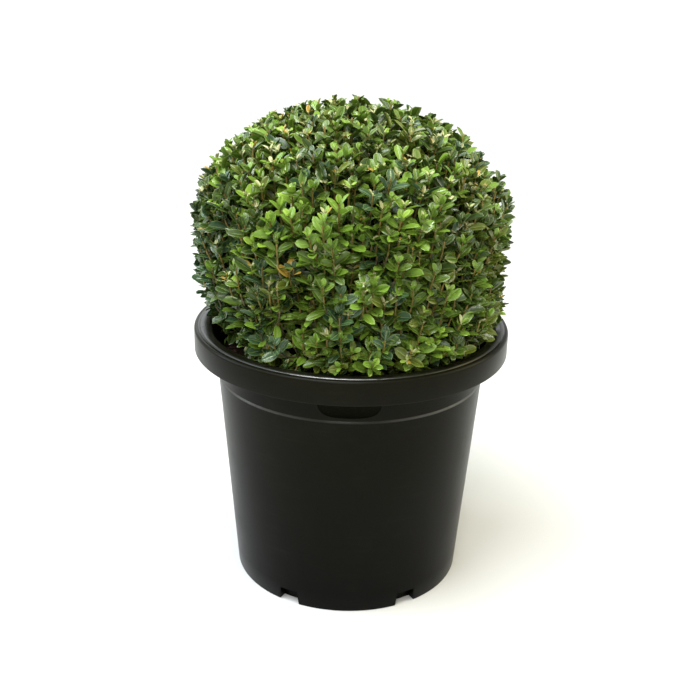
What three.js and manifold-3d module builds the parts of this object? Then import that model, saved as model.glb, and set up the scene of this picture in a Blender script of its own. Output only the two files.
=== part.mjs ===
// A clipped box topiary ball, growing in a round black plastic nursery pot.
// Millimetres, +Z up. The origin is the centre of the pot's foot, on the surface that it stands on.
// The front of the plant faces -Y.
import * as THREE from "three";
import { mergeVertices } from "three/addons/utils/BufferGeometryUtils.js";
import Module from "manifold-3d";

const wasm = await Module();
wasm.setup();

const CLEAR = 0.3; // the gap between pieces that touch

// The pot's wall tapers straight from its foot to a ledge, below a plain neck and a hooked rim.
const POT_HEIGHT = 280;
const POT_WALL = 2.8;
const POT_SIDES = 64;
const FOOT_RADIUS = 122.5;
const FOOT_RING = 8;
const BASE_LIFT = 8; // the base stands this far above the ground, inside the foot ring
const LEDGE_HEIGHT = 227.3;
const LEDGE_RADIUS = 140.5;
const LEDGE_STEP = 1.3; // the neck is this much slimmer than the wall under it
const LEDGE_BEVEL = 1;
const NECK_TOP = 265; // the wall flares out from here to the mouth
const MOUTH_RADIUS = 148;
const FLARE_FALL = 3; // the flare inside is this much rounder than the one outside

// The rim turns out at the top and hangs down as a band, which leans in a little towards its top.
const RIM_RADIUS = 165;
const RIM_LOW = 257;
const BAND_UPRIGHT = 8; // the band stands straight to this height, then leans in
const BAND_LEAN = 0.8;
const BAND_SHOULDER = 2.5;
const RIM_FOLD_RADIUS = 159; // the outer edge of the rim's raised top ring
const RING_HEIGHT = 2.6;
const RING_ROUND = 1;

// Six drain notches stand in the foot, narrower at the top.
const NOTCHES = 6;
const NOTCH_TURN = 1; // degrees
const NOTCH_HEIGHT = 12.5;
const NOTCH_REACH = 14; // how far it is cut in from the foot's outside
const NOTCH_LOW_WIDTH = 24;
const NOTCH_TOP_WIDTH = 20;

// Two grip pockets are pressed into the neck, at the front and at the back.
const GRIP_LOW = 234;
const GRIP_HIGH = 256;
const GRIP_LOW_WIDTH = 58;
const GRIP_HIGH_WIDTH = 70;
const GRIP_DEPTH = 7;
const GRIP_TURNS = [0, Math.PI];

// The potting mix fills the pot to a hand's width under its rim.
const SOIL_TOP = 245;
const SOIL_FLAT = 40; // the radius of its level middle
const SOIL_FALL = 2;

// A short stem stands on the mix, leans a little, and carries five boughs.
const TRUNK_TOP = 283;
const TRUNK_RADIUS = 11.5;
const TRUNK_TIP_RADIUS = 9;
const FLARE_RADIUS = 19;
const FLARE_SHARE = 0.35; // the share of the trunk's height that the root flare takes
const TRUNK_FOOT = new THREE.Vector2(-2, 0);
const TRUNK_TIP = new THREE.Vector2(3, 3);
const TRUNK_SIDES = 14;
const TRUNK_RINGS = 6;
const BOUGHS = 5;
const BOUGH_RADIUS = 5;
const BOUGH_TIP_RADIUS = 3.8;
const BOUGH_RISE = 14; // a bough leaves the trunk this far above the mix, the next ones a little higher
const BOUGH_STEP = 3;
const BOUGH_REACH = 62;
const BOUGH_SHORTER = 4; // the boughs differ in reach by up to four of these
const BOUGH_SIDES = 8;
const BOUGH_RINGS = 5;

// The clipped surface: a drum with a domed top, tucked in at the bottom where it meets the mouth.
const CROWN_RADIUS = 156;
const CROWN_TOP = 504;
const CROWN_SHOULDER = 414;
const DOME_POWER = 1.75;
const CROWN_SKIRT = 316;
const CROWN_BOTTOM = 245;
const TUCK_POWER = 3.1;
const CROWN_MIDDLE = new THREE.Vector3(-1, 0, 385);
const REACH = 15; // how far leaves may stand out of the clipped surface

// The core is the dense inside of the crown, where leaves and twigs close up.
const CORE_DEPTH = 24;
const CORE_LOW = 266;
const CORE_BUMP = 6;
const CORE_DETAIL = 4;

// Under it is the hollow that the boughs rise through, open at the bottom.
const HOLLOW_TOP = 292;
const HOLLOW_RADIUS = 76;
const HOLLOW_LOW_RADIUS = 92;
const HOLLOW_SIDES = 20;

// Shoots stand out of the core, and carry leaves in opposite pairs.
const SHOOTS = 94;
const SHOOT_RADIUS = 2.4;
const SHOOT_TIP_RADIUS = 1.8;
const SHOOT_ROOT_SHARE = 0.8; // a shoot's root is at this share of its tip's distance from the axis
const SHOOT_RISE = 44;
const SHOOT_BEND = 0.95; // and the control point of its curve at this share
const SHOOT_BEND_HEIGHT = 0.4; // this share of the way up
const SHOOT_LIFT = 14; // the lowest shoots are rooted this far above the core's underside
const TIP_SPREAD = 8; // shoots end up to this far inside the clipped surface
const LOWEST_VIEW = -44; // degrees: no shoot leaves the middle further below the level than this
const PAIRS_AT = [0.55, 0.92]; // shares of a shoot's length
const LEAF_LENGTH = 35;
const LEAF_WIDTH = 20;
const LEAF_THICKNESS = 1.6;
const LEAF_WAIST = 0.45; // a leaf's width in the half near its root, against its full width
const LEAF_SIZES = [1, 0.75, 0.55]; // the largest of these that is free is used
const LEAF_SPREAD = THREE.MathUtils.degToRad(52); // between a leaf and its shoot
const LEAF_OUTWARD = 0.8; // how much a blade faces outwards, against along its shoot
const LEAF_CLEAR = 3; // a leaf keeps this far from the pot and the mix
const LEAF_ROOT = 0.1; // a leaf's root is this far from the shoot's middle line, well inside its skin
const GOLDEN_ANGLE = Math.PI * (3 - Math.sqrt(5));
const UP = new THREE.Vector3(0, 0, 1);

// A repeatable run of numbers from 0 to 1.
function seeded(seed) {
  let state = seed;
  return () => {
    state = (state * 16807) % 2147483647;
    return state / 2147483647;
  };
}

// A closed three.js geometry as a solid, and back.
function solidFrom(geometry) {
  const bare = geometry.clone();
  bare.deleteAttribute("normal");
  bare.deleteAttribute("uv");
  const merged = mergeVertices(bare, 1e-4);
  const vertProperties = merged.attributes.position.array;
  const triVerts = new Uint32Array(merged.index.array);
  const mesh = new wasm.Mesh({ numProp: 3, vertProperties, triVerts });
  mesh.merge(); // closes seams whose corners differ in the last digit
  return new wasm.Manifold(mesh);
}

function geometryFrom(solid) {
  const mesh = solid.getMesh();
  const geometry = new THREE.BufferGeometry();
  geometry.setAttribute("position", new THREE.BufferAttribute(mesh.vertProperties, 3));
  geometry.setIndex(new THREE.BufferAttribute(mesh.triVerts, 1));
  geometry.computeVertexNormals();
  return geometry;
}

function meshOf(name, solid, color, roughness) {
  const material = new THREE.MeshStandardMaterial({ color, roughness, metalness: 0 });
  const mesh = new THREE.Mesh(geometryFrom(solid), material);
  mesh.name = name;
  return mesh;
}

// A profile of [radius, height] turned round the Z axis.
function turned(profile, sides) {
  const points = profile.map(([radius, height]) => new THREE.Vector2(radius, height));
  const geometry = new THREE.LatheGeometry(points, sides);
  geometry.rotateX(Math.PI / 2);
  return solidFrom(geometry);
}

// A tapered limb: a cylinder whose rings are laid along a curve.
function limb(curve, radiusAt, sides, steps) {
  const geometry = new THREE.CylinderGeometry(1, 1, 1, sides, steps);
  const place = geometry.attributes.position;
  const side = new THREE.Vector3();
  const front = new THREE.Vector3();
  const point = new THREE.Vector3();
  for (let i = 0; i < place.count; i++) {
    const share = THREE.MathUtils.clamp(place.getY(i) + 0.5, 0, 1);
    const along = curve.getTangent(share);
    side.set(1, 0, 0).addScaledVector(along, -along.x);
    if (side.lengthSq() < 0.1) side.set(0, 1, 0).addScaledVector(along, -along.y);
    side.normalize();
    front.crossVectors(side, along);
    curve.getPoint(share, point);
    point.addScaledVector(side, place.getX(i) * radiusAt(share));
    point.addScaledVector(front, place.getZ(i) * radiusAt(share));
    place.setXYZ(i, point.x, point.y, point.z);
  }
  return solidFrom(geometry);
}

// A flat-topped wedge: its outline in width and height is a trapezium, and it runs from one
// distance from the axis to another, in the direction that the turn gives.
function wedge(lowWidth, highWidth, low, high, near, far, turn) {
  const outline = new THREE.Shape();
  outline.moveTo(-lowWidth / 2, low);
  outline.lineTo(lowWidth / 2, low);
  outline.lineTo(highWidth / 2, high);
  outline.lineTo(-highWidth / 2, high);
  const geometry = new THREE.ExtrudeGeometry(outline, { depth: far - near, bevelEnabled: false });
  geometry.rotateX(Math.PI / 2);
  geometry.translate(0, -near, 0);
  geometry.rotateZ(turn);
  return solidFrom(geometry);
}

// A square block round the axis, for cutting a limb off level.
function slab(low, high, width) {
  return wedge(width, width, low, high, -width / 2, width / 2, 0);
}

// The wall's outer radius, from the foot up.
function wallRadius(height) {
  return FOOT_RADIUS + ((LEDGE_RADIUS - FOOT_RADIUS) * height) / LEDGE_HEIGHT;
}

function insideRadius(height) {
  return wallRadius(height) - POT_WALL;
}

function neckRadius(height) {
  return wallRadius(height) - LEDGE_STEP;
}

const BASE_TOP = BASE_LIFT + POT_WALL;
const GRIP_FACE = neckRadius((GRIP_LOW + GRIP_HIGH) / 2);
const GRIP_FLOOR = GRIP_FACE - GRIP_DEPTH;

// The block that a grip pocket takes out of the neck, or its backing where it is grown all round.
function gripWedge(turn, grow, near, far) {
  const lowWidth = GRIP_LOW_WIDTH + 2 * grow;
  const highWidth = GRIP_HIGH_WIDTH + 2 * grow;
  return wedge(lowWidth, highWidth, GRIP_LOW - grow, GRIP_HIGH + grow, near, far, turn);
}

function potSolid() {
  const rimUnder = POT_HEIGHT - 2 * POT_WALL;
  const profile = [
    [0, BASE_LIFT],
    [FOOT_RADIUS - FOOT_RING - 2, BASE_LIFT],
    [FOOT_RADIUS - FOOT_RING, 0],
    [FOOT_RADIUS, 0],
    [LEDGE_RADIUS, LEDGE_HEIGHT],
    [LEDGE_RADIUS - LEDGE_BEVEL / 2, LEDGE_HEIGHT + LEDGE_BEVEL],
    [neckRadius(LEDGE_HEIGHT + LEDGE_BEVEL), LEDGE_HEIGHT + LEDGE_BEVEL],
    [neckRadius(NECK_TOP), NECK_TOP],
    [MOUTH_RADIUS + POT_WALL, rimUnder],
    [RIM_RADIUS - 2 * POT_WALL, rimUnder],
    [RIM_RADIUS - POT_WALL, RIM_LOW],
    [RIM_RADIUS, RIM_LOW],
    [RIM_RADIUS, RIM_LOW + BAND_UPRIGHT],
    [RIM_RADIUS - BAND_LEAN, RIM_LOW + 2 * BAND_UPRIGHT],
    [RIM_RADIUS - BAND_SHOULDER, POT_HEIGHT - RING_HEIGHT - RING_ROUND / 2],
    [RIM_FOLD_RADIUS + RING_ROUND, POT_HEIGHT - RING_HEIGHT],
    [RIM_FOLD_RADIUS + RING_ROUND, POT_HEIGHT - RING_ROUND],
    [RIM_FOLD_RADIUS - RING_ROUND, POT_HEIGHT],
    [MOUTH_RADIUS + RING_ROUND, POT_HEIGHT - RING_ROUND],
    [MOUTH_RADIUS - RING_ROUND, POT_HEIGHT - RING_HEIGHT],
    [insideRadius(NECK_TOP) + FLARE_FALL / 2, NECK_TOP + FLARE_FALL],
    [insideRadius(NECK_TOP - FLARE_FALL), NECK_TOP - FLARE_FALL],
    [insideRadius(BASE_TOP), BASE_TOP],
    [0, BASE_TOP],
  ];
  let pot = turned(profile, POT_SIDES);
  for (const turn of GRIP_TURNS) {
    pot = pot.add(gripWedge(turn, POT_WALL, GRIP_FLOOR - POT_WALL, GRIP_FACE - LEDGE_STEP));
    pot = pot.subtract(gripWedge(turn, 0, GRIP_FLOOR, GRIP_FACE + POT_WALL));
  }
  const near = FOOT_RADIUS - NOTCH_REACH;
  const far = FOOT_RADIUS + POT_WALL;
  for (let i = 0; i < NOTCHES; i++) {
    const turn = THREE.MathUtils.degToRad((360 / NOTCHES) * (i + 0.5) + NOTCH_TURN);
    pot = pot.subtract(
      wedge(NOTCH_LOW_WIDTH, NOTCH_TOP_WIDTH, -POT_WALL, NOTCH_HEIGHT, near, far, turn),
    );
  }
  return pot;
}

function soilSolid() {
  const low = BASE_TOP + CLEAR;
  const edge = SOIL_TOP - SOIL_FALL;
  let soil = turned(
    [
      [0, low],
      [insideRadius(low) - CLEAR, low],
      [insideRadius(edge) - CLEAR, edge],
      [(SOIL_FLAT + insideRadius(edge)) / 2, SOIL_TOP - SOIL_FALL / 4],
      [SOIL_FLAT, SOIL_TOP],
      [0, SOIL_TOP],
    ],
    POT_SIDES,
  );
  const backing = POT_WALL + CLEAR;
  for (const turn of GRIP_TURNS)
    soil = soil.subtract(gripWedge(turn, backing, GRIP_FLOOR - backing, GRIP_FACE));
  return soil;
}

// The trunk's middle line and its radius, grown by the share of the way up.
const TRUNK_LINE = new THREE.QuadraticBezierCurve3(
  new THREE.Vector3(TRUNK_FOOT.x, TRUNK_FOOT.y, SOIL_TOP + CLEAR),
  new THREE.Vector3(TRUNK_FOOT.x, TRUNK_FOOT.y, (SOIL_TOP + TRUNK_TOP) / 2),
  new THREE.Vector3(TRUNK_TIP.x, TRUNK_TIP.y, TRUNK_TOP + 3),
);

function trunkRadius(share) {
  const flare = Math.max(0, 1 - share / FLARE_SHARE);
  const plain = THREE.MathUtils.lerp(TRUNK_RADIUS, TRUNK_TIP_RADIUS, share);
  return plain + (FLARE_RADIUS - TRUNK_RADIUS) * flare * flare;
}

function trunkSolid(grow) {
  const trunk = limb(TRUNK_LINE, (share) => trunkRadius(share) + grow, TRUNK_SIDES, TRUNK_RINGS);
  const under = slab(SOIL_TOP - FLARE_RADIUS, TRUNK_LINE.v0.z, 4 * FLARE_RADIUS);
  const over = slab(TRUNK_TOP, TRUNK_TOP + FLARE_RADIUS, 4 * FLARE_RADIUS);
  return trunk.subtract(under).subtract(over);
}

// Each bough rises from inside the trunk, is cut clear of it, and ends flat under the core.
function boughSolids() {
  const trunk = trunkSolid(CLEAR);
  const core = slab(HOLLOW_TOP - CLEAR, HOLLOW_TOP + BOUGH_REACH, 4 * BOUGH_REACH);
  const boughs = [];
  for (let i = 0; i < BOUGHS; i++) {
    const turn = (2 * Math.PI * (i + 0.3)) / BOUGHS;
    const out = new THREE.Vector3(Math.cos(turn), Math.sin(turn), 0);
    const share = (BOUGH_RISE + BOUGH_STEP * ((2 * i) % BOUGHS)) / (TRUNK_TOP - SOIL_TOP);
    const start = TRUNK_LINE.getPoint(share);
    const reach = BOUGH_REACH - BOUGH_SHORTER * ((3 * i) % BOUGHS);
    const end = start.clone().addScaledVector(out, reach).setZ(HOLLOW_TOP + BOUGH_TIP_RADIUS);
    const bend = start.clone().addScaledVector(out, reach * 0.6);
    bend.z += (end.z - start.z) * 0.35;
    const line = new THREE.QuadraticBezierCurve3(start, bend, end);
    const radiusAt = (way) => THREE.MathUtils.lerp(BOUGH_RADIUS, BOUGH_TIP_RADIUS, way);
    const bough = limb(line, radiusAt, BOUGH_SIDES, BOUGH_RINGS);
    boughs.push(bough.subtract(trunk).subtract(core));
  }
  return boughs;
}

// How far out a point stands: 1 on the clipped surface, less inside it.
function clipLevel(point, depth = 0) {
  const radius = Math.hypot(point.x - CROWN_MIDDLE.x, point.y) / (CROWN_RADIUS - depth);
  let rise = 0;
  let power = DOME_POWER;
  if (point.z > CROWN_SHOULDER) {
    rise = (point.z - CROWN_SHOULDER) / (CROWN_TOP - depth - CROWN_SHOULDER);
  } else if (point.z < CROWN_SKIRT) {
    rise = (CROWN_SKIRT - point.z) / (CROWN_SKIRT - CROWN_BOTTOM);
    power = TUCK_POWER;
  }
  return (radius ** power + rise ** power) ** (1 / power);
}

// The point where a ray from the crown's middle meets the clipped surface.
function surfacePoint(direction, depth = 0) {
  const point = new THREE.Vector3();
  let near = 0;
  let far = 2 * CROWN_RADIUS;
  for (let i = 0; i < 30; i++) {
    const way = (near + far) / 2;
    point.copy(CROWN_MIDDLE).addScaledVector(direction, way);
    if (clipLevel(point, depth) < 1) near = way;
    else far = way;
  }
  return point;
}

// Directions spread evenly round the crown's middle, from its top down to the lowest view.
function evenDirection(index, count) {
  const lowest = Math.sin(THREE.MathUtils.degToRad(LOWEST_VIEW));
  const height = 1 - ((index + 0.5) / count) * (1 - lowest);
  const level = Math.sqrt(1 - height * height);
  const turn = index * GOLDEN_ANGLE;
  return new THREE.Vector3(level * Math.cos(turn), level * Math.sin(turn), height);
}

// How far from the axis a leaf may reach inside the pot's mouth, which widens above the neck.
function mouthInside(height) {
  const share = THREE.MathUtils.clamp((height - NECK_TOP) / (POT_HEIGHT - NECK_TOP), 0, 1);
  return THREE.MathUtils.lerp(insideRadius(NECK_TOP), MOUTH_RADIUS, share) - LEAF_CLEAR;
}

// A leaf's corners stay in the crown's reach, out of the pot's rim and off the mix.
function isFree(point) {
  const fromAxis = Math.hypot(point.x, point.y);
  if (clipLevel(point, -REACH) > 1) return false;
  if (point.z < POT_HEIGHT + LEAF_CLEAR && fromAxis > mouthInside(point.z)) return false;
  if (point.z < CORE_LOW && fromAxis < HOLLOW_LOW_RADIUS) return false;
  return point.z > SOIL_TOP + LEAF_CLEAR;
}

// An octahedron lying on one of its faces has a six-cornered outline: a leaf of eight faces.
// It is one unit long from its root, along X, one unit wide and one thick.
function leafPattern() {
  const pattern = new THREE.OctahedronGeometry(1, 0);
  pattern.rotateZ(-Math.PI / 4);
  pattern.rotateY(-Math.acos(1 / Math.sqrt(3)));
  pattern.computeBoundingBox();
  const size = pattern.boundingBox.getSize(new THREE.Vector3());
  const low = pattern.boundingBox.min;
  pattern.translate(-low.x, 0, 0);
  pattern.scale(1 / size.x, 1 / size.y, 1 / size.z);
  const corners = pattern.attributes.position;
  for (let i = 0; i < corners.count; i++)
    if (corners.getX(i) < 0.5) corners.setY(i, corners.getY(i) * LEAF_WAIST);
  return pattern;
}

const LEAF_PATTERN = leafPattern();

// A leaf with its root sunk in its shoot, or nothing where it would not be free.
function leafSolid(root, along, facing, size) {
  const width = new THREE.Vector3().crossVectors(facing, along).normalize();
  const normal = new THREE.Vector3().crossVectors(along, width);
  const place = new THREE.Matrix4().makeBasis(
    along.clone().multiplyScalar(LEAF_LENGTH * size),
    width.clone().multiplyScalar(LEAF_WIDTH * size),
    normal.multiplyScalar(LEAF_THICKNESS),
  );
  place.setPosition(root);
  const geometry = LEAF_PATTERN.clone().applyMatrix4(place);
  const corners = geometry.attributes.position;
  const corner = new THREE.Vector3();
  for (let i = 0; i < corners.count; i++)
    if (!isFree(corner.fromBufferAttribute(corners, i))) return null;
  return solidFrom(geometry);
}

// A shoot rises from the core, curves up to the clipped surface, and ends in a pair of leaves.
function shootSolids(index, random) {
  const direction = evenDirection(index, SHOOTS);
  const tip = surfacePoint(direction, TIP_SPREAD * random());
  if (!isFree(tip)) return [];
  const root = new THREE.Vector3(tip.x * SHOOT_ROOT_SHARE, tip.y * SHOOT_ROOT_SHARE, 0);
  root.z = Math.max(tip.z - SHOOT_RISE, CORE_LOW + SHOOT_LIFT);
  const bend = new THREE.Vector3(tip.x * SHOOT_BEND, tip.y * SHOOT_BEND, 0);
  bend.z = THREE.MathUtils.lerp(root.z, tip.z, SHOOT_BEND_HEIGHT);
  const line = new THREE.QuadraticBezierCurve3(root, bend, tip);
  const radiusAt = (share) => THREE.MathUtils.lerp(SHOOT_RADIUS, SHOOT_TIP_RADIUS, share);
  const solids = [limb(line, radiusAt, 3, 2)];
  let turn = 2 * Math.PI * random();
  for (const share of PAIRS_AT) {
    const node = line.getPoint(share);
    const along = line.getTangent(share);
    const side = new THREE.Vector3().crossVectors(along, UP);
    if (side.lengthSq() < 0.01) side.set(1, 0, 0);
    side.normalize().applyAxisAngle(along, turn);
    const facing = along.clone().addScaledVector(direction, LEAF_OUTWARD);
    for (const way of [1, -1]) {
      const size = 0.85 + 0.3 * random();
      const spread = LEAF_SPREAD * (0.8 + 0.4 * random());
      const leafAlong = along.clone().multiplyScalar(Math.cos(spread));
      leafAlong.addScaledVector(side, way * Math.sin(spread)).normalize();
      const leafRoot = node.clone().addScaledVector(leafAlong, LEAF_ROOT);
      const fitted = LEAF_SIZES.map((part) => leafSolid(leafRoot, leafAlong, facing, part * size));
      const leaf = fitted.find((solid) => solid);
      if (leaf) solids.push(leaf);
    }
    turn += Math.PI / 2;
  }
  return solids;
}

// The core follows the clipped surface some way inside it, and has the boughs' hollow underneath.
function coreSolid(random) {
  const geometry = new THREE.IcosahedronGeometry(1, CORE_DETAIL);
  geometry.deleteAttribute("normal");
  geometry.deleteAttribute("uv");
  const merged = mergeVertices(geometry, 1e-4);
  const place = merged.attributes.position;
  const direction = new THREE.Vector3();
  for (let i = 0; i < place.count; i++) {
    direction.fromBufferAttribute(place, i).normalize();
    const point = surfacePoint(direction, CORE_DEPTH + CORE_BUMP * (2 * random() - 1));
    place.setXYZ(i, point.x, point.y, Math.max(point.z, CORE_LOW));
  }
  const hollow = [
    [0, SOIL_TOP],
    [HOLLOW_LOW_RADIUS, SOIL_TOP],
    [HOLLOW_RADIUS, HOLLOW_TOP],
    [0, HOLLOW_TOP],
  ];
  return solidFrom(merged).subtract(turned(hollow, HOLLOW_SIDES));
}

// The crown's own stem goes on from the trunk's tip, up into the core.
function crownStem() {
  const start = new THREE.Vector3(TRUNK_TIP.x, TRUNK_TIP.y, TRUNK_TOP + CLEAR);
  const end = new THREE.Vector3(start.x, start.y, HOLLOW_TOP + 2 * TRUNK_RADIUS);
  return limb(new THREE.LineCurve3(start, end), () => TRUNK_TIP_RADIUS - 0.5, 12, 1);
}

function crownSolid() {
  const random = seeded(20417);
  const solids = [coreSolid(random), crownStem()];
  for (let i = 0; i < SHOOTS; i++) solids.push(...shootSolids(i, random));
  const joined = wasm.Manifold.union(solids);
  const bodies = joined.decompose();
  bodies.sort((a, b) => b.volume() - a.volume());
  return bodies[0];
}

const group = new THREE.Group();
group.name = "box_topiary_ball";
group.add(meshOf("pot", potSolid(), 0x191a18, 0.42));
group.add(meshOf("potting_mix", soilSolid(), 0x3a2a20, 0.95));
group.add(meshOf("trunk", trunkSolid(0), 0x7a6a52, 0.85));
boughSolids().forEach((bough, i) => {
  group.add(meshOf("bough_" + (i + 1), bough, 0x7d6b4c, 0.85));
});
group.add(meshOf("clipped_crown", crownSolid(), 0x3f5f26, 0.6));
export default group;
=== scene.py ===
# %% [markdown]
# # A clipped box ball in its nursery pot
# This lesson dresses a garden shrub: a small-leaved evergreen, clipped with shears to a ball with
# upright sides, in the black plastic pot that it was raised in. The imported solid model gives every
# size and place. Here each solid gets the surface, twigs and leaves that the real plant shows.
# All lengths are metres. The plant stands on the floor at height 0, with its front towards -Y.

import math

import bmesh
import bpy
import numpy as np
from mathutils import Matrix, Vector, noise


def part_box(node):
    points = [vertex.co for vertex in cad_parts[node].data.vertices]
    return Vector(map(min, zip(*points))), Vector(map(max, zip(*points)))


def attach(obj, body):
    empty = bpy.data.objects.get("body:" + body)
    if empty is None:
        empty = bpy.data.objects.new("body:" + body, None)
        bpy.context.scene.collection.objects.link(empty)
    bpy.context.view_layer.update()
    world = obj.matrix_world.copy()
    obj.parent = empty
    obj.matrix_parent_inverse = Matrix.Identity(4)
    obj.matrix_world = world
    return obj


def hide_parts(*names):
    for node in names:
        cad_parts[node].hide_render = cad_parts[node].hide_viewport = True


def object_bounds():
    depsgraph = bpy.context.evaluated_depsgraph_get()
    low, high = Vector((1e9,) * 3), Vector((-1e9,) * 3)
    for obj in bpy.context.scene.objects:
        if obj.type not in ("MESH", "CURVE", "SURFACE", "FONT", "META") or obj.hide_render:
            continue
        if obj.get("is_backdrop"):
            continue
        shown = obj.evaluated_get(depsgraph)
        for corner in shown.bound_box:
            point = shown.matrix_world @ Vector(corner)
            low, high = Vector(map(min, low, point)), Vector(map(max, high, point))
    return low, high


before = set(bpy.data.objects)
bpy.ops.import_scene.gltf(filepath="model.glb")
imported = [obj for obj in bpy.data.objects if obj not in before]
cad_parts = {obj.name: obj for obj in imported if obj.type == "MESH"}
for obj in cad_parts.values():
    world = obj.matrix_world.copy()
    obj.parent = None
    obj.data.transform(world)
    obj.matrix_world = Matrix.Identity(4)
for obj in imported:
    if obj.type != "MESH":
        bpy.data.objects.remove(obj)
solid_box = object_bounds()
MM = 0.001
print("solids:", ", ".join(sorted(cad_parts)))
print("the solid model reaches from", solid_box[0][:], "to", solid_box[1][:])

# %% [markdown]
# ## The camera
# The photo looks down on the plant at about 21 degrees from just over a metre away, and the camera
# is turned a little on its own axis, so the pot's right side looks lower. The eye's place, the
# tilt, the roll and the lens were found by laying the pot's rings over the photo, so they stay as
# plain values.

# %% Camera
PHOTO_SIDE = 700  # pixels, both ways
FOCAL_PIXELS = 1105.5
SENSOR_WIDTH = 36  # millimetres
EYE = Vector((-0.7, -1100, 678.8)) * MM
TILT_DOWN = 0.375  # radians, as the roll is
ROLL = 0.022

camera_data = bpy.data.cameras.new("photo_camera")
camera_data.sensor_width = SENSOR_WIDTH
camera_data.lens = SENSOR_WIDTH * FOCAL_PIXELS / PHOTO_SIDE
camera_data.clip_end = 100
camera = bpy.data.objects.new("photo_camera", camera_data)
bpy.context.scene.collection.objects.link(camera)
bpy.context.scene.camera = camera
gaze = Matrix.Rotation(math.pi / 2 - TILT_DOWN, 4, "X") @ Matrix.Rotation(ROLL, 4, "Z")
camera.matrix_world = Matrix.Translation(EYE) @ gaze
TO_CAMERA = camera.matrix_world.inverted()


def pixel_of(point):
    """Where a point of the plant falls in the photo, in pixels from its top left corner."""
    seen = TO_CAMERA @ point
    scale = FOCAL_PIXELS / -seen.z
    return PHOTO_SIDE / 2 + scale * seen.x, PHOTO_SIDE / 2 - scale * seen.y


mouth_middle = Vector((0, 0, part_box("pot")[1].z))
print("the middle of the pot's mouth is at pixel", pixel_of(mouth_middle))

# %% [markdown]
# ## Studio light
# The photo was taken in soft, even light: a cool glow lies on the leaves at the upper left, and a
# warmer one on the right. A pale world fills the shadows, and two very wide suns give the two
# glows. Suns are used because they light the floor evenly out to its far edge, which an area lamp
# would not. Four more suns draw edges: one in front and one at each side put a glint on the
# leaves and on the pot's ledge, and one from behind greys the flat of the rim. A long soft box
# above the front draws the thin bright line along the rim, and two large ones tint the sides.

# %% Light
SKY_COLOUR = (0.97, 0.98, 0.97, 1)
SKY_STRENGTH = 0.62

scene = bpy.context.scene
scene.view_settings.view_transform = "Standard"
world = bpy.data.worlds.new("soft_studio")
scene.world = world
world.use_nodes = True
world.node_tree.nodes["Background"].inputs["Color"].default_value = SKY_COLOUR
world.node_tree.nodes["Background"].inputs["Strength"].default_value = SKY_STRENGTH


def add_lamp(name, kind, towards, energy, colour, place=(0, 0, 0)):
    """A lamp at a place, shining from the direction given. Returns its settings."""
    data = bpy.data.lights.new(name, kind)
    data.energy = energy
    data.color = colour
    lamp = bpy.data.objects.new(name, data)
    lamp.location = place
    lamp.rotation_mode = "QUATERNION"
    lamp.rotation_quaternion = Vector(towards).to_track_quat("Z", "Y")
    scene.collection.objects.link(lamp)
    return data


def add_sun(name, towards, strength, colour, spread):
    """A sun, spread over a piece of sky that is so many degrees wide."""
    add_lamp(name, "SUN", towards, strength, colour).angle = math.radians(spread)


def add_box(name, place, aim, size, power, colour):
    """A soft box: a glowing rectangle at a place, turned towards another point."""
    data = add_lamp(name, "AREA", Vector(place) - Vector(aim), power, colour, place)
    data.shape = "RECTANGLE"
    data.size, data.size_y = size


add_sun("cool_key", (-0.5, -0.42, 1.2), 2.35, (0.93, 0.97, 1.0), 38)
add_sun("warm_fill", (0.8, -0.55, 0.7), 0.5, (1.0, 0.92, 0.62), 60)
add_sun("front_beam", (-0.1, -1.0, 0.85), 1.1, (1.0, 0.98, 0.92), 18)
add_sun("left_kicker", (-1.0, 0.2, 0.4), 0.85, (0.78, 0.92, 1.0), 26)
add_sun("right_kicker", (1.0, 0.2, 0.4), 0.65, (1.0, 0.93, 0.50), 26)
add_sun("back_glow", (-0.25, 1.0, 0.42), 0.8, (0.92, 0.97, 1.0), 40)
add_box("rim_strip", (-0.1, -0.36, 1.5), (-0.02, -0.16, 0.28), (0.8, 0.16), 10, (1.0, 1.0, 1.0))
add_box("warm_side_box", (1.1, 0.15, 1.0), (0.35, 0.15, 0), (0.8, 0.8), 5.5, (1.0, 0.88, 0.40))
add_box("cool_side_box", (-1.1, 0.15, 1.0), (-0.35, 0.15, 0), (0.8, 0.8), 6, (0.75, 0.90, 1.0))
print(len(bpy.data.lights), "lights and a pale world")

# %% [markdown]
# ## Shader maths as plain expressions
# A node tree is easier to read as a formula. `Value` wraps one output socket, and adding or
# multiplying values makes the Math nodes. `Finish` is a material with one Principled shader. Its
# `node` method makes any other node: first the settings, then the inputs, as numbers or links, and
# `paint` fills the shader's own sockets. Most plain finishes are two near colours in soft clouds,
# so `mottled` makes those in one call.


# %% Shader helpers
class Value:
    """A number that varies over a surface: one output socket of a finish's node tree."""

    def __init__(self, finish, socket):
        self.finish = finish
        self.socket = socket

    def math(self, operation, first, second=0):
        return self.finish.node("ShaderNodeMath", {"operation": operation}, {0: first, 1: second})

    def __add__(self, other):
        return self.math("ADD", self, other)

    def __sub__(self, other):
        return self.math("SUBTRACT", self, other)

    def __rsub__(self, other):
        return self.math("SUBTRACT", other, self)

    def __mul__(self, other):
        return self.math("MULTIPLY", self, other)

    def __pow__(self, other):
        return self.math("POWER", self, other)

    def __abs__(self):
        return self.math("ABSOLUTE", self)

    def fraction(self):
        return self.math("FRACT", self)

    __radd__ = __add__
    __rmul__ = __mul__


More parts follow.
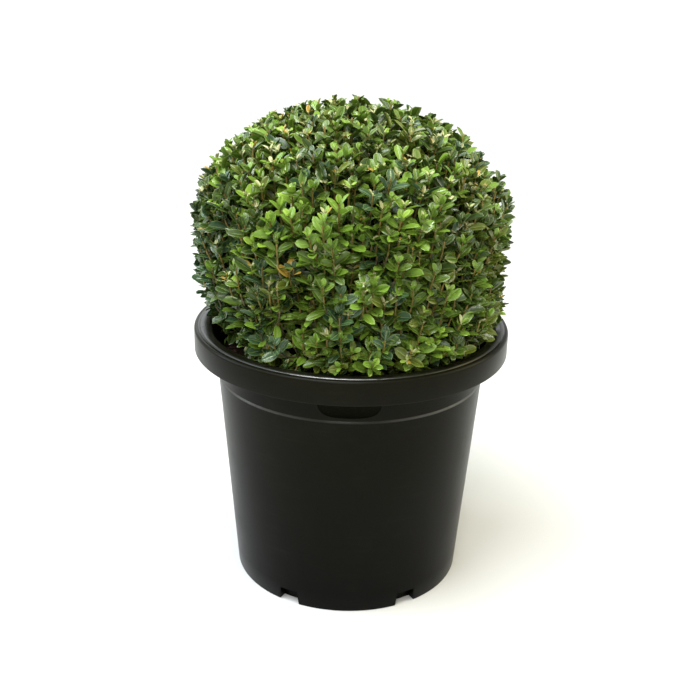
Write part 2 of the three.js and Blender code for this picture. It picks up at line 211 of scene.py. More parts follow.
class Finish:
    """A procedural material. Keywords set the shader's own sockets, such as roughness=0.4."""

    def __init__(self, name, **constants):
        self.material = bpy.data.materials.new(name)
        self.material.use_nodes = True
        self.tree = self.material.node_tree
        self.shader = self.tree.nodes["Principled BSDF"]
        self.paint(**constants)

    def paint(self, **values):
        """Gives the shader's own sockets a value or a link, as in base_color=clouds."""
        for key, value in values.items():
            title = key.replace("_", " ").title().replace("Ior", "IOR")
            self.feed(self.shader.inputs[title], value)

    def node(self, kind, settings=None, inputs=None, output=0):
        """Any node: its settings first, then its sockets, by name or number."""
        made = self.tree.nodes.new(kind)
        for key, value in (settings or {}).items():
            if key == "stops":
                self.set_stops(made.color_ramp, value)
            else:
                setattr(made, key, value)
        for key, value in (inputs or {}).items():
            self.feed(made.inputs[key], value)
        return Value(self, made.outputs[output])

    def set_stops(self, ramp, stops):
        for place, level in stops[len(ramp.elements):]:
            ramp.elements.new(place)
        for element, (place, level) in zip(ramp.elements, stops):
            element.position = place
            element.color = (level, level, level, 1)

    def feed(self, socket, value):
        if isinstance(value, Value):
            self.tree.links.new(value.socket, socket)
        elif isinstance(value, tuple) and len(value) == 3 and socket.type == "RGBA":
            socket.default_value = (*value, 1)
        else:
            socket.default_value = value

    def place(self, stretch=(1, 1, 1)):
        """The point on the piece, in metres, stretched by a Mapping node."""
        spot = self.node("ShaderNodeTexCoord", output="Object")
        return self.node("ShaderNodeMapping", {}, {"Vector": spot, "Scale": stretch})

    def noise(self, size, detail=2, place=None, roughness=0.5, distortion=0):
        """Soft cloudy noise from 0 to 1. Size is the width of one cloud, in metres."""
        inputs = {"Vector": place or self.place(), "Scale": 1 / size, "Detail": detail}
        inputs.update({"Roughness": roughness, "Distortion": distortion})
        return self.node("ShaderNodeTexNoise", {}, inputs)

    def steps(self, value, *stops):
        """A curve through (input, output) stops."""
        return self.node("ShaderNodeValToRGB", {"stops": stops}, {0: value})

    def mix(self, factor, first, second):
        """A colour between two colours."""
        inputs = {0: factor, 6: first, 7: second}
        return self.node("ShaderNodeMix", {"data_type": "RGBA"}, inputs, output=2)

    def bump(self, height, depth, strength=1):
        """Fine relief. Depth is how far a height of 1 stands out, in metres."""
        inputs = {"Height": height, "Distance": depth, "Strength": strength}
        self.paint(normal=self.node("ShaderNodeBump", {}, inputs))


def mottled(name, size, detail, dark, pale, relief=0, **constants):
    """A plain finish of two colours in soft clouds, which may also stand out as relief."""
    finish = Finish(name, **constants)
    clouds = finish.noise(size, detail)
    finish.paint(base_color=finish.mix(clouds, dark, pale))
    if relief:
        finish.bump(clouds, relief)
    return finish


print("shader helpers are ready")

# %% [markdown]
# ## The floor
# A plain pale disc whose far edge sweeps up all round, as a studio's paper does, so that no
# horizon shows from any side. The disc's border is extruded step by step along an arc. It is only
# the stage, so it is marked as one and isn't exported. A faint cloudiness keeps it from looking
# like paper.

# %% Floor
FLOOR_RADIUS = 5
FLOOR_DROP = 0.1 * MM
SWEEP_RADIUS = 9
SWEEP_TURN = math.radians(50)
SWEEP_STEPS = 10


def placed(name, mesh, *finishes):
    """Shows a mesh as an object at the origin, with its materials."""
    piece = bpy.data.objects.new(name, mesh)
    mesh.materials.clear()
    for finish in finishes:
        mesh.materials.append(finish.material)
    scene.collection.objects.link(piece)
    return piece


def shown(name, bm, *finishes):
    """Turns a bmesh into an object in the scene, and frees the bmesh."""
    mesh = bpy.data.meshes.new(name)
    bm.to_mesh(mesh)
    bm.free()
    return placed(name, mesh, *finishes)


floor_looks = {"roughness": 0.9, "specular_ior_level": 0.1}
floor_finish = mottled("pale_floor", 1.5, 2, (0.60, 0.60, 0.60), (0.63, 0.63, 0.63), **floor_looks)
bm = bmesh.new()
bmesh.ops.create_circle(bm, cap_ends=True, segments=96, radius=FLOOR_RADIUS)
border = [edge for edge in bm.edges if edge.is_boundary]
for i in range(1, SWEEP_STEPS + 1):
    turn = SWEEP_TURN * i / SWEEP_STEPS
    made = bmesh.ops.extrude_edge_only(bm, edges=border)["geom"]
    border = [item for item in made if isinstance(item, bmesh.types.BMEdge)]
    for vert in {vert for edge in border for vert in edge.verts}:
        out = vert.co.xy.normalized() * (FLOOR_RADIUS + SWEEP_RADIUS * math.sin(turn))
        vert.co = (*out, SWEEP_RADIUS * (1 - math.cos(turn)))
bmesh.ops.recalc_face_normals(bm, faces=bm.faces)
for face in bm.faces:
    face.smooth = True
bmesh.ops.translate(bm, verts=bm.verts, vec=(0, 0, -FLOOR_DROP))
shown("studio_floor", bm, floor_finish)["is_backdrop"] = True
print("the flat floor is", 2 * FLOOR_RADIUS, "metres across")

# %% [markdown]
# ## The pot
# The pot is a surface of revolution: a straight tapered wall on a foot ring, a small ledge, a
# slimmer neck, and a rim that hooks outwards and hangs down as a band. One profile is spun round
# the axis, and the rings that show an edge are bevelled so that they catch the light. The outline
# is the solid pot's, with the ledge and the band's lower edge moved by up to three millimetres to
# meet the photo. The foot ring is wider and the base higher, which makes room for the notches.

# %% Spin and bevel helpers
pot_low, pot_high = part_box("pot")
POT_HEIGHT = pot_high.z
RIM_RADIUS = (pot_high.x - pot_low.x) / 2
POT_STEPS = 180
POT_WALL = 2.8 * MM
FOOT_RADIUS = 122.5 * MM
FOOT_RING = 14 * MM
FOOT_SLOPE = 2 * MM
BASE_LIFT = 18 * MM
BASE_TOP = BASE_LIFT + POT_WALL
LEDGE_HEIGHT = 225.6 * MM
LEDGE_RADIUS = 140.5 * MM
LEDGE_STEP = 1.3 * MM
LEDGE_SLOPE = 2.1 * MM
NECK_TOP = 265 * MM
MOUTH_RADIUS = 148 * MM
FLARE_FALL = 3 * MM
RIM_LOW = 254 * MM
SHOULDER_ROUND = 3.3 * MM
SHOULDER_TOP = POT_HEIGHT - 0.9 * MM
RING_RADIUS = 160.8 * MM
RING_ROUND = 4.4 * MM
GROOVE_RADIUS = RING_RADIUS - 0.5 * MM
GROOVE_BOTTOM = POT_HEIGHT - 1.3 * MM
RING_HEIGHT = 2.6 * MM
MOUTH_ROUND = 1 * MM
WELD = 0.001 * MM
FINE_WELD = 0.1 * WELD
ON_RING = 0.01 * MM


def arc(centre, radius, start, stop, count):
    """Points of (radius, height) on a round stretch of a profile, with the angles in degrees."""
    turns = [math.radians(start + (stop - start) * i / count) for i in range(count + 1)]
    return [(centre[0] + radius * math.cos(turn), centre[1] + radius * math.sin(turn)) for turn in turns]


def welded(bm, reach=WELD):
    """Merges the doubles, then points the faces outwards."""
    bmesh.ops.remove_doubles(bm, verts=bm.verts, dist=reach)
    bmesh.ops.recalc_face_normals(bm, faces=bm.faces)
    return bm


def spun(bm, geom, angle, steps, **options):
    """Spins a line or a face round the Z axis."""
    bmesh.ops.spin(bm, geom=geom, axis=(0, 0, 1), cent=(0, 0, 0), angle=angle, steps=steps, **options)


def turned(profile, steps):
    """A closed shape from a profile of (radius, height), spun once round."""
    bm = bmesh.new()
    line = [bm.verts.new((radius, 0, height)) for radius, height in profile]
    edges = [bm.edges.new(pair) for pair in zip(line, line[1:])]
    spun(bm, line + edges, 2 * math.pi, steps, use_merge=True)
    return welded(bm)


def ring_edges(bm, radius, height):
    """The edges of the ring at a radius and height of a turned shape."""
    def on_ring(vert):
        return abs(vert.co.z - height) < ON_RING and abs(vert.co.xy.length - radius) < ON_RING
    return [edge for edge in bm.edges if all(on_ring(vert) for vert in edge.verts)]


def soften(bm, edges, width):
    """Rounds edges off."""
    bmesh.ops.bevel(bm, geom=edges, offset=width, segments=2, profile=0.5, affect="EDGES", material=-1)


def shade_by_angle(bm, degrees):
    """Smooth shading, broken at the edges that turn by more than an angle."""
    for face in bm.faces:
        face.smooth = True
    for edge in bm.edges:
        edge.smooth = edge.calc_face_angle(0) < math.radians(degrees)


def wall_radius(height):
    """The wall's outer radius."""
    return FOOT_RADIUS + (LEDGE_RADIUS - FOOT_RADIUS) * height / LEDGE_HEIGHT


def inside_radius(height):
    return wall_radius(height) - POT_WALL


def neck_radius(height):
    return wall_radius(height) - LEDGE_STEP


print("the pot is", round(POT_HEIGHT / MM), "mm high and", round(2 * RIM_RADIUS / MM), "mm over its rim")

# %% [markdown]
# ### Black moulded plastic
# Nursery pots are injection moulded in recycled black plastic. The skin is satin, with a slightly
# cloudy gloss, fine grain, and rubbed streaks from being stacked and handled. The colour hardly
# changes, so most of the look comes from roughness and a very shallow bump. The colour is painted
# a little lighter towards the top and darker at the foot, as painted shade. The ledge and the rim's
# lower edge are painted a rubbed grey, partly as wear where stacked pots touch and partly as a
# painted highlight, brighter towards the ledge's sides. A coat that lies on the ledge and on the
# rim's top polishes them and gives them their bright line. The hand grips under the rim are left
# coarse and matt by the mould, so they look darker than the wall.

# %% Pot finish
pot_finish = Finish("black_satin_plastic", specular_ior_level=0.065, coat_roughness=0.29, coat_ior=1.9)
clouds = pot_finish.noise(55 * MM, 5, roughness=0.65)
streaks = pot_finish.noise(12 * MM, 3, pot_finish.place((0.25, 0.25, 4)), distortion=0.4)
grain = pot_finish.noise(1.1 * MM)
scuffs = pot_finish.steps(streaks * clouds, (0.3, 0), (0.52, 1))
spot = pot_finish.node("ShaderNodeTexCoord", output="Object")
aside, ahead, height = (pot_finish.node("ShaderNodeSeparateXYZ", {}, {0: spot}, axis) for axis in "XYZ")
outward = (aside * aside + ahead * ahead) ** 0.5
PALE_RING_SCALE = 333  # the curve's run from 0 to 1 is 3 mm of height
SIDE_SCALE = 7  # its stops fall 29 and 107 mm from the middle


# A pale ring, painted as wear and as a highlight where the light catches an edge.
def rubbed(level):
    """1 on a ring at a height, and 0 from a millimetre and a half above and below it."""
    away = 0.5 + (height - level) * PALE_RING_SCALE
    return pot_finish.steps(away, (0.02, 0), (0.3, 1), (0.7, 1), (0.98, 0))


# The ledge is painted paler: patchy wear, plus a painted highlight that is brighter towards both sides.
to_side = pot_finish.steps(abs(aside) * SIDE_SCALE, (0.2, 0), (0.75, 1))
ledge_wear_and_highlight = rubbed(LEDGE_HEIGHT) * (0.2 + to_side * 0.8)
# The rim's lower edge is painted a little paler too, as wear and painted highlight.
wear_and_highlights = ledge_wear_and_highlight * (0.4 + clouds * 1.2) + rubbed(RIM_LOW) * 0.12
# Painted shade: the body's colour is darker towards the foot and lighter towards the top.
painted_shade_by_height = pot_finish.steps(height * (1 / POT_HEIGHT), (0.05, 0.1), (0.95, 1)) * (0.35 + clouds * 0.65)
body_colour = pot_finish.mix(painted_shade_by_height, (0.0006, 0.0006, 0.0003), (0.0070, 0.0068, 0.0030))
scuffed = pot_finish.mix(scuffs * 0.25, body_colour, (0.012, 0.0115, 0.0085))
# The pale colour mixed in here is wear plus painted highlight on the ledge and the rim's lower edge.
pot_finish.paint(base_color=pot_finish.mix(wear_and_highlights * 0.9, scuffed, (0.045, 0.045, 0.038)))
pot_finish.paint(roughness=0.22 + clouds * 0.17 + scuffs * 0.05)

# The coat lies on the rim's top 2.4 mm, out to the raised ring's edge, and thinner on the ledge.
ring_top = pot_finish.steps((height - POT_HEIGHT) * 250 + 1, (0.3, 0), (0.4, 1))
ring_top = ring_top * pot_finish.steps((outward - RING_RADIUS) * 500 + 0.5, (0.4, 1), (0.6, 0))
pot_finish.paint(coat_weight=(ring_top * (0.85 - to_side * 0.5) + ledge_wear_and_highlight * 0.6) * (0.35 + clouds))
pot_finish.bump(grain * 0.3 + clouds * 0.7, 0.16 * MM, 0.5)

GRIP_TONES = ((0.0040, 0.0040, 0.0022), (0.0100, 0.0100, 0.0060))
grip_looks = {"roughness": 0.85, "specular_ior_level": 0.05}
grip_finish = mottled("coarse_grip_plastic", 1.6 * MM, 2, *GRIP_TONES, 0.4 * MM, **grip_looks)
print("the pot's finishes are", pot_finish.material.name, "and", grip_finish.material.name)

# %% [markdown]
# ### The shell
# The profile runs from the middle of the base's underside, down to the foot ring, up the outside,
# over the rim and down the inside. A few extra rings, over the base, beside the ledge, and below
# and above the grips, bound the faces that the notches and the grip pockets cut later, so that the
# cuts leave the rest of the wall smooth.

# %% Pot shell
LEDGE_MARGIN = 0.7 * MM
GRIP_LOW = 230 * MM
GRIP_HIGH = 256 * MM
GRIP_MARGIN = 2 * MM
rim_under = POT_HEIGHT - 2 * POT_WALL
grip_rings = [GRIP_LOW - GRIP_MARGIN, GRIP_HIGH + GRIP_MARGIN]
ledge_low = LEDGE_HEIGHT - LEDGE_SLOPE / 2
ledge_high = LEDGE_HEIGHT + LEDGE_SLOPE / 2
wall_rings = [BASE_TOP + MM, ledge_low - LEDGE_MARGIN, ledge_low]
neck_rings = [ledge_high, ledge_high + LEDGE_MARGIN, *grip_rings, NECK_TOP]
profile = [
    (0, BASE_LIFT),
    (FOOT_RADIUS - FOOT_RING - FOOT_SLOPE, BASE_LIFT),
    (FOOT_RADIUS - FOOT_RING, 0),
    (FOOT_RADIUS, 0),
    *((wall_radius(height), height) for height in wall_rings),
    *((neck_radius(height), height) for height in neck_rings),
    (MOUTH_RADIUS + POT_WALL, rim_under),
    (RIM_RADIUS - 2 * POT_WALL, rim_under),
    (RIM_RADIUS - POT_WALL, RIM_LOW),
    (RIM_RADIUS, RIM_LOW),
    *arc((RIM_RADIUS - SHOULDER_ROUND, SHOULDER_TOP - SHOULDER_ROUND), SHOULDER_ROUND, 0, 100, 8),
    (GROOVE_RADIUS, GROOVE_BOTTOM),
    *arc((RING_RADIUS - RING_ROUND, POT_HEIGHT - RING_ROUND), RING_ROUND, 46, 90, 8),
    (MOUTH_RADIUS + 5 * MOUTH_ROUND, POT_HEIGHT - MOUTH_ROUND / 4),
    (MOUTH_RADIUS + MOUTH_ROUND, POT_HEIGHT - MOUTH_ROUND),
    (MOUTH_RADIUS - MOUTH_ROUND, POT_HEIGHT - RING_HEIGHT),
    (inside_radius(NECK_TOP) + FLARE_FALL / 2, NECK_TOP + FLARE_FALL),
    (inside_radius(NECK_TOP - FLARE_FALL), NECK_TOP - FLARE_FALL),
    *((inside_radius(height), height) for height in (*reversed(grip_rings), BASE_TOP)),
    (0, BASE_TOP),
]

bm = turned(profile, POT_STEPS)
for radius, height, width in (
    (FOOT_RADIUS, 0, 0.8 * MM),
    (wall_radius(ledge_low), ledge_low, 0.4 * MM),
    (RIM_RADIUS - POT_WALL, RIM_LOW, 0.6 * MM),
    (RIM_RADIUS, RIM_LOW, 0.9 * MM),
    (MOUTH_RADIUS + MOUTH_ROUND, POT_HEIGHT - MOUTH_ROUND, 0.9 * MM),
    (MOUTH_RADIUS - MOUTH_ROUND, POT_HEIGHT - RING_HEIGHT, 0.9 * MM),
):
    soften(bm, ring_edges(bm, radius, height), width)
pot = shown("nursery_pot", bm, pot_finish, grip_finish)
print("the shell has", len(pot.data.polygons), "faces")

# %% [markdown]
# ### Drain notches and grip pockets
# Six notches in the foot let water out, and a hand finds a pocket under the rim at the front and
# at the back. A notch is a block that narrows upwards, and a drain slot leads on from it into the
# hollow under the base. A pocket is a soft scoop: a sphere swollen to a cushion and drawn out
# sideways, a little narrower at its foot. Behind each pocket a curved block will be joined to the
# wall, so that the wall keeps its thickness there.

# %% Cutter shapes
GRIP_WIDTH = 70 * MM
GRIP_DEPTH = 7 * MM
GRIP_FACE = neck_radius((GRIP_LOW + GRIP_HIGH) / 2)
GRIP_FLOOR = GRIP_FACE - GRIP_DEPTH
SKIN = 0.6 * MM
BACKING_STEPS = 20
SCOOP_POWER = 0.6
SCOOP_WIDTH = 0.92
SCOOP_FLARE = 0.1


def turn_round(bm, verts, turn):
    bmesh.ops.rotate(bm, verts=verts, cent=(0, 0, 0), matrix=Matrix.Rotation(turn, 3, "Z"))


def add_wedge(bm, widths, low, high, near, far, turn):
    """A block between two distances from the axis, with its width given at its foot and its top."""
    made = bmesh.ops.create_cube(bm, size=1)["verts"]
    for vert in made:
        top = vert.co.z > 0
        vert.co.x = math.copysign(widths[int(top)] / 2, vert.co.x)
        vert.co.y = -far if vert.co.y < 0 else -near
        vert.co.z = high if top else low
    turn_round(bm, made, turn)


def add_backing(bm, half_width, inner, low, high, turn):
    """A curved block behind a pocket, from a radius out to just under the neck's skin."""
    ring = [(inner, low), (neck_radius(low) - SKIN, low), (neck_radius(high) - SKIN, high), (inner, high)]
    start = Matrix.Rotation(turn - math.pi / 2 - half_width, 3, "Z")
    face = bm.faces.new([bm.verts.new(start @ Vector((radius, 0, height))) for radius, height in ring])
    spun(bm, [face], 2 * half_width, BACKING_STEPS, use_duplicate=False)
    bmesh.ops.recalc_face_normals(bm, faces=bm.faces)


def add_scoop(bm, middle, half_width, depth, half_height, turn):
    """A cushion round a point on the wall, to scoop out a hollow of that depth."""
    made = bmesh.ops.create_uvsphere(bm, u_segments=56, v_segments=40, radius=1)["verts"]
    for vert in made:
        vert.co = [math.copysign(abs(share) ** SCOOP_POWER, share) for share in vert.co]
        vert.co.x *= SCOOP_WIDTH + SCOOP_FLARE * vert.co.z
    bmesh.ops.scale(bm, verts=made, vec=(half_width, depth, half_height))
    bmesh.ops.translate(bm, verts=made, vec=middle)
    turn_round(bm, made, turn)


def in_grip(point, grow):
    """True for a point within a grip pocket's block, grown all round by a margin."""
    across = abs(point.x) < GRIP_WIDTH / 2 + grow
    upright = GRIP_LOW - grow < point.z < GRIP_HIGH + grow
    return across and upright and GRIP_FLOOR - grow < point.xy.length < GRIP_FACE + POT_WALL


print("a grip pocket is", round(GRIP_WIDTH / MM), "mm wide and", round(GRIP_DEPTH / MM), "mm deep")

# %% [markdown]
# ### The cuts
# All notches, slots and pockets go into one cutter, and a Boolean modifier takes them out of the
# shell, because that keeps the notches' corners crisp. Afterwards the faces of a pocket's wall take
# the coarse finish, and a count of open edges shows that the pot is still closed.

# %% Cut the pot
NOTCHES = 6
NOTCH_TURN = math.radians(1)
NOTCH_WIDTHS = (24 * MM, 20 * MM)
NOTCH_HEIGHT = 15 * MM
NOTCH_REACH = 10 * MM
DRAIN_WIDTHS = (9 * MM, 9 * MM)
DRAIN_LOW = 3.5 * MM
DRAIN_HIGH = 7.5 * MM
DRAIN_INTO_HOLLOW = 4 * MM
DRAIN_INTO_NOTCH = 2 * MM
GRIP_TURNS = (0, math.pi)
GRIP_EDGE = 0.25 * MM
GRIP_BACK = GRIP_FLOOR - POT_WALL
GRIP_HALF_TURN = (GRIP_WIDTH / 2 + POT_WALL) / GRIP_FACE
BACKING_LOW = GRIP_LOW - POT_WALL / 2
BACKING_HIGH = GRIP_HIGH + POT_WALL


def cut_with(piece, cutter_bm, operation):
    """Joins or cuts a piece with another shape, and keeps the result as plain mesh."""
    cutter = shown("cutter", cutter_bm)
    modifier = piece.modifiers.new("cut", "BOOLEAN")
    modifier.operation = operation
    modifier.solver = "EXACT"
    modifier.object = cutter
    evaluated = piece.evaluated_get(bpy.context.evaluated_depsgraph_get())
    mesh = bpy.data.meshes.new_from_object(evaluated)
    piece.modifiers.clear()
    piece.data = mesh
    bpy.data.objects.remove(cutter)


def is_scooped(point):
    """True for a point on a pocket's wall: under the neck's skin, and outside its inner one."""
    skin = neck_radius(point.z)
    return in_grip(point, GRIP_EDGE) and skin - GRIP_DEPTH - GRIP_EDGE < point.xy.length < skin - GRIP_EDGE


def open_edges(bm):
    return sum(not edge.is_manifold for edge in bm.edges)


def dressed(piece, slot, *nodes):
    """Says that a piece rides on the one body and replaces nodes. The slot is not used."""
    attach(piece, "root")
    if nodes:
        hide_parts(*nodes)
    return piece


backing = bmesh.new()
pockets = bmesh.new()
for turn in GRIP_TURNS:
    add_backing(backing, GRIP_HALF_TURN, GRIP_BACK, BACKING_LOW, BACKING_HIGH, turn)
    middle = Vector((0, -GRIP_FACE, (GRIP_LOW + GRIP_HIGH) / 2))
    add_scoop(pockets, middle, GRIP_WIDTH / 2, GRIP_DEPTH, (GRIP_HIGH - GRIP_LOW) / 2, turn)
for i in range(NOTCHES):
    turn = 2 * math.pi * (i + 0.5) / NOTCHES + NOTCH_TURN
    near = FOOT_RADIUS - NOTCH_REACH
    add_wedge(pockets, NOTCH_WIDTHS, -POT_WALL, NOTCH_HEIGHT, near, FOOT_RADIUS + POT_WALL, turn)
    inner = FOOT_RADIUS - FOOT_RING - DRAIN_INTO_HOLLOW
    add_wedge(pockets, DRAIN_WIDTHS, DRAIN_LOW, DRAIN_HIGH, inner, near + DRAIN_INTO_NOTCH, turn)
cut_with(pot, backing, "UNION")
cut_with(pot, pockets, "DIFFERENCE")

bm = bmesh.new()
bm.from_mesh(pot.data)
bmesh.ops.remove_doubles(bm, verts=bm.verts, dist=WELD)
shade_by_angle(bm, 32)
for face in bm.faces:
    face.material_index = int(is_scooped(face.calc_center_median()))
print("the cut pot has", len(bm.faces), "faces and", open_edges(bm), "open edges")
bm.to_mesh(pot.data)
bm.free()
dressed(pot, "pot_plastic", "pot")

# %% [markdown]
# ## Repeatable chance
# Everything below grows by chance, but has to come out the same on every run. This generator is
# the one that the solid model uses, so the same seed gives the same first draws.

# %% Seeded numbers
CHANCE_FACTOR = 16807
CHANCE_RANGE = 2**31 - 1
CROWN_SEED = 20417
FLAKE_SEED = 977
LEAF_SEED = 5519


def seeded(seed):
    """A function that gives a repeatable run of numbers from 0 to 1."""
    state = seed

    def draw():
        nonlocal state
        state = state * CHANCE_FACTOR % CHANCE_RANGE
        return state / CHANCE_RANGE

    return draw


def between(draw, low, high):
    return low + (high - low) * draw()


print("the crown's first draw is", round(seeded(CROWN_SEED)(), 4))

# %% [markdown]
# ## The potting mix
# Between leaves and wall the mix shows as a dark, crumbly surface with flakes of pine bark on it.
# The bed is turned like the pot, in many rings, and its top is moved up and down by two sizes of
# noise. Room is cut into it for the curved blocks behind the grips. The flakes come later as
# pieces of their own, because they have a lighter, redder colour.

# %% Mix finish and bed
MIX_TONES = ((0.010, 0.006, 0.004), (0.055, 0.030, 0.018))
mix_finish = Finish("moist_potting_mix", roughness=0.95, specular_ior_level=0.2)
crumbs = mix_finish.noise(4 * MM, 6, roughness=0.7)
fibres = mix_finish.noise(1.2 * MM, 3)
mix_finish.paint(base_color=mix_finish.mix(mix_finish.steps(crumbs, (0.35, 0), (0.7, 1)), *MIX_TONES))
mix_finish.bump(crumbs * 0.8 + fibres * 0.2, 1.4 * MM)

MIX_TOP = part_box("potting_mix")[1].z
CLEAR = 0.3 * MM
MIX_FALL = 2 * MM
MIX_LOWER = 1.2 * MM
MIX_RINGS = 34
MIX_STEPS = 120
CRUMB_LAYER = 5 * MM
LUMPS = ((9 * MM, 1.1), (3.5 * MM, 0.6))  # the width of a lump, and its height in millimetres


def mix_height(radius):
    """The bed's mean height: level in the middle, a little lower at the wall."""
    return MIX_TOP - MIX_FALL * (radius / inside_radius(MIX_TOP)) ** 2 - MIX_LOWER


mix_edge = inside_radius(MIX_TOP - MIX_FALL) - CLEAR
mix_radii = [mix_edge * ring / MIX_RINGS for ring in range(MIX_RINGS, -1, -1)]
top_line = [(radius, mix_height(radius)) for radius in mix_radii]
bed_low = BASE_TOP + CLEAR
bm = turned([(0, bed_low), (inside_radius(bed_low) - CLEAR, bed_low), *top_line], MIX_STEPS)
for vert in bm.verts:
    if vert.co.z > MIX_TOP - CRUMB_LAYER:
        lump = sum(noise.noise(vert.co / width) * height for width, height in LUMPS)
        vert.co.z = min(vert.co.z + lump * MM, MIX_TOP)
shade_by_angle(bm, 50)
bed = dressed(shown("potting_mix_bed", bm, mix_finish), "potting_mix", "potting_mix")
room = bmesh.new()
for turn in GRIP_TURNS:
    spare = GRIP_HALF_TURN + 2 * CLEAR / GRIP_FACE
    add_backing(room, spare, GRIP_BACK - CLEAR, BACKING_LOW - CLEAR, BACKING_HIGH + CLEAR, turn)
cut_with(bed, room, "DIFFERENCE")
print("the bed has", len(bed.data.polygons), "faces, with its top at", round(MIX_TOP / MM), "mm")

# %% [markdown]
# ## Many copies as one mesh
# Thousands of leaves as separate objects would be slow, and copies by particles are lost when the
# model is exported. So one small pattern is modelled with bmesh, its corners are read into an
# array, and numpy lays every copy out at once. Each copy is a 3 by 4 block: three axes and a place.


# %% Patterns and joined copies
class Pattern:
    """A small closed mesh as arrays: corners, triangles, slots, UV chart and the sharp edges."""

    def __init__(self, bm, sharp_degrees=30):
        bmesh.ops.triangulate(bm, faces=bm.faces)
        bmesh.ops.recalc_face_normals(bm, faces=bm.faces)
        bm.verts.index_update()
        self.corners = np.array([vert.co[:] for vert in bm.verts])
        self.triangles = np.array([[vert.index for vert in face.verts] for face in bm.faces])
        self.slots = np.array([face.material_index for face in bm.faces])
        layer = bm.loops.layers.uv.active
        self.chart = None
        if layer:
            self.chart = np.array([loop[layer].uv[:] for face in bm.faces for loop in face.loops])
        self.open_edges = sum(not edge.is_manifold for edge in bm.edges)
        limit = math.radians(sharp_degrees)
        sharp = [edge for edge in bm.edges if edge.calc_face_angle(0) > limit]
        self.sharp = {tuple(sorted(vert.index for vert in edge.verts)) for edge in sharp}
        bm.free()


def joined(name, pattern, copies, *finishes):
    """One mesh of many copies of a pattern. Copies are (axis, axis, axis, place) in metres."""
    blocks = np.array([[tuple(column) for column in copy] for copy in copies])
    corners = np.einsum("cj,njk->nck", pattern.corners, blocks[:, :3]) + blocks[:, 3][:, None]
    count = len(pattern.corners)
    offsets = np.arange(len(copies))[:, None, None] * count
    triangles = (pattern.triangles[None] + offsets).reshape(-1, 3)
    mesh = bpy.data.meshes.new(name)
    mesh.vertices.add(len(copies) * count)
    mesh.vertices.foreach_set("co", corners.ravel())
    mesh.loops.add(triangles.size)
    mesh.loops.foreach_set("vertex_index", triangles.ravel())
    mesh.polygons.add(len(triangles))
    mesh.polygons.foreach_set("loop_start", np.arange(len(triangles)) * 3)
    mesh.polygons.foreach_set("material_index", np.tile(pattern.slots, len(copies)))
    mesh.polygons.foreach_set("use_smooth", np.ones(len(triangles), bool))
    if pattern.chart is not None:
        chart = mesh.uv_layers.new(name="leaf_chart")
        chart.data.foreach_set("uv", np.tile(pattern.chart, (len(copies), 1)).ravel())
    mesh.update(calc_edges=True)
    ends = np.empty(len(mesh.edges) * 2, np.int32)
    mesh.edges.foreach_get("vertices", ends)
    ends = np.sort(ends.reshape(-1, 2), axis=1) % count
    wanted = np.array([low * count + high for low, high in pattern.sharp])
    attribute = mesh.attributes.new("sharp_edge", "BOOLEAN", "EDGE")
    attribute.data.foreach_set("value", np.isin(ends[:, 0] * count + ends[:, 1], wanted))
    return placed(name, mesh, *finishes)


print("patterns are ready")

# %% [markdown]
# ## Bark flakes
# The flakes on the mix are broken pieces of pine bark, flat and rough. Each starts as a cube that
# is flattened and has its corners pushed about, and four such flakes are scattered with any turn.

# %% Bark flakes
FLAKES = 520
FLAKE_KINDS = 4
FLAKE_SIZE = 9 * MM
FLAKE_CORNERS = (0.55, 1.15)
FLAKE_SIZES = (0.45, 1.1)  # times the size above
FLAKE_WIDTHS = (0.35, 0.7)  # times its length, as the next
FLAKE_HEIGHTS = (0.12, 0.3)
FLAKE_TILTS = (-0.5, 0.5)
FLAKE_SPIN = 7
FLAKE_LIFT = 0.8 * MM
FLAKE_MARGIN = 5 * MM
FLAKE_AREA = (0.05, 1)
flake_finish = Finish("pine_bark_flakes", roughness=0.85)
flake_bands = flake_finish.noise(2 * MM, 4, flake_finish.place((1, 1, 3)))
flake_patches = flake_finish.noise(11 * MM, 1)
flake_colour = flake_finish.mix(flake_bands, (0.030, 0.013, 0.007), (0.14, 0.062, 0.032))
flake_finish.paint(base_color=flake_finish.mix(flake_patches * 0.5, flake_colour, (0.05, 0.04, 0.035)))
flake_finish.bump(flake_bands, 0.5 * MM)

draw = seeded(FLAKE_SEED)
flake_kinds = []
for kind in range(FLAKE_KINDS):
    bm = bmesh.new()
    bmesh.ops.create_cube(bm, size=1)
    for vert in bm.verts:
        vert.co = Vector(share * between(draw, *FLAKE_CORNERS) for share in vert.co)
    flake_kinds.append((Pattern(bm, 20), []))
mix_reach = inside_radius(MIX_TOP) - FLAKE_MARGIN
for i in range(FLAKES):
    radius = mix_reach * math.sqrt(between(draw, *FLAKE_AREA))
    turn = 2 * math.pi * draw()
    size = FLAKE_SIZE * between(draw, *FLAKE_SIZES)
    lie = Matrix.Rotation(turn * FLAKE_SPIN, 3, "Z")
    lie = lie @ Matrix.Rotation(between(draw, *FLAKE_TILTS), 3, "X")
    width = size * between(draw, *FLAKE_WIDTHS)
    shape = lie @ Matrix.Diagonal((size, width, size * between(draw, *FLAKE_HEIGHTS)))
    place = Vector((radius * math.cos(turn), radius * math.sin(turn), mix_height(radius) + FLAKE_LIFT))
    if in_grip(place, 2 * POT_WALL + FLAKE_SIZE / 2):
        continue
    flake_kinds[i % FLAKE_KINDS][1].append((*shape.transposed(), place))
for kind, (pattern, copies) in enumerate(flake_kinds, 1):
    dressed(joined("bark_flakes_" + str(kind), pattern, copies, flake_finish), "potting_mix")
print(sum(len(copies) for pattern, copies in flake_kinds), "flakes lie on the mix")

# %% [markdown]
# ## The clipped surface
# The shears leave a drum with a domed top, tucked in where it meets the pot's mouth. One formula
# says how far out a point stands, and a ray from the crown's middle is halved again and again
# until it meets that surface. The formulas and sizes are those of the solid crown, so that every
# twig and leaf keeps within the same reach.

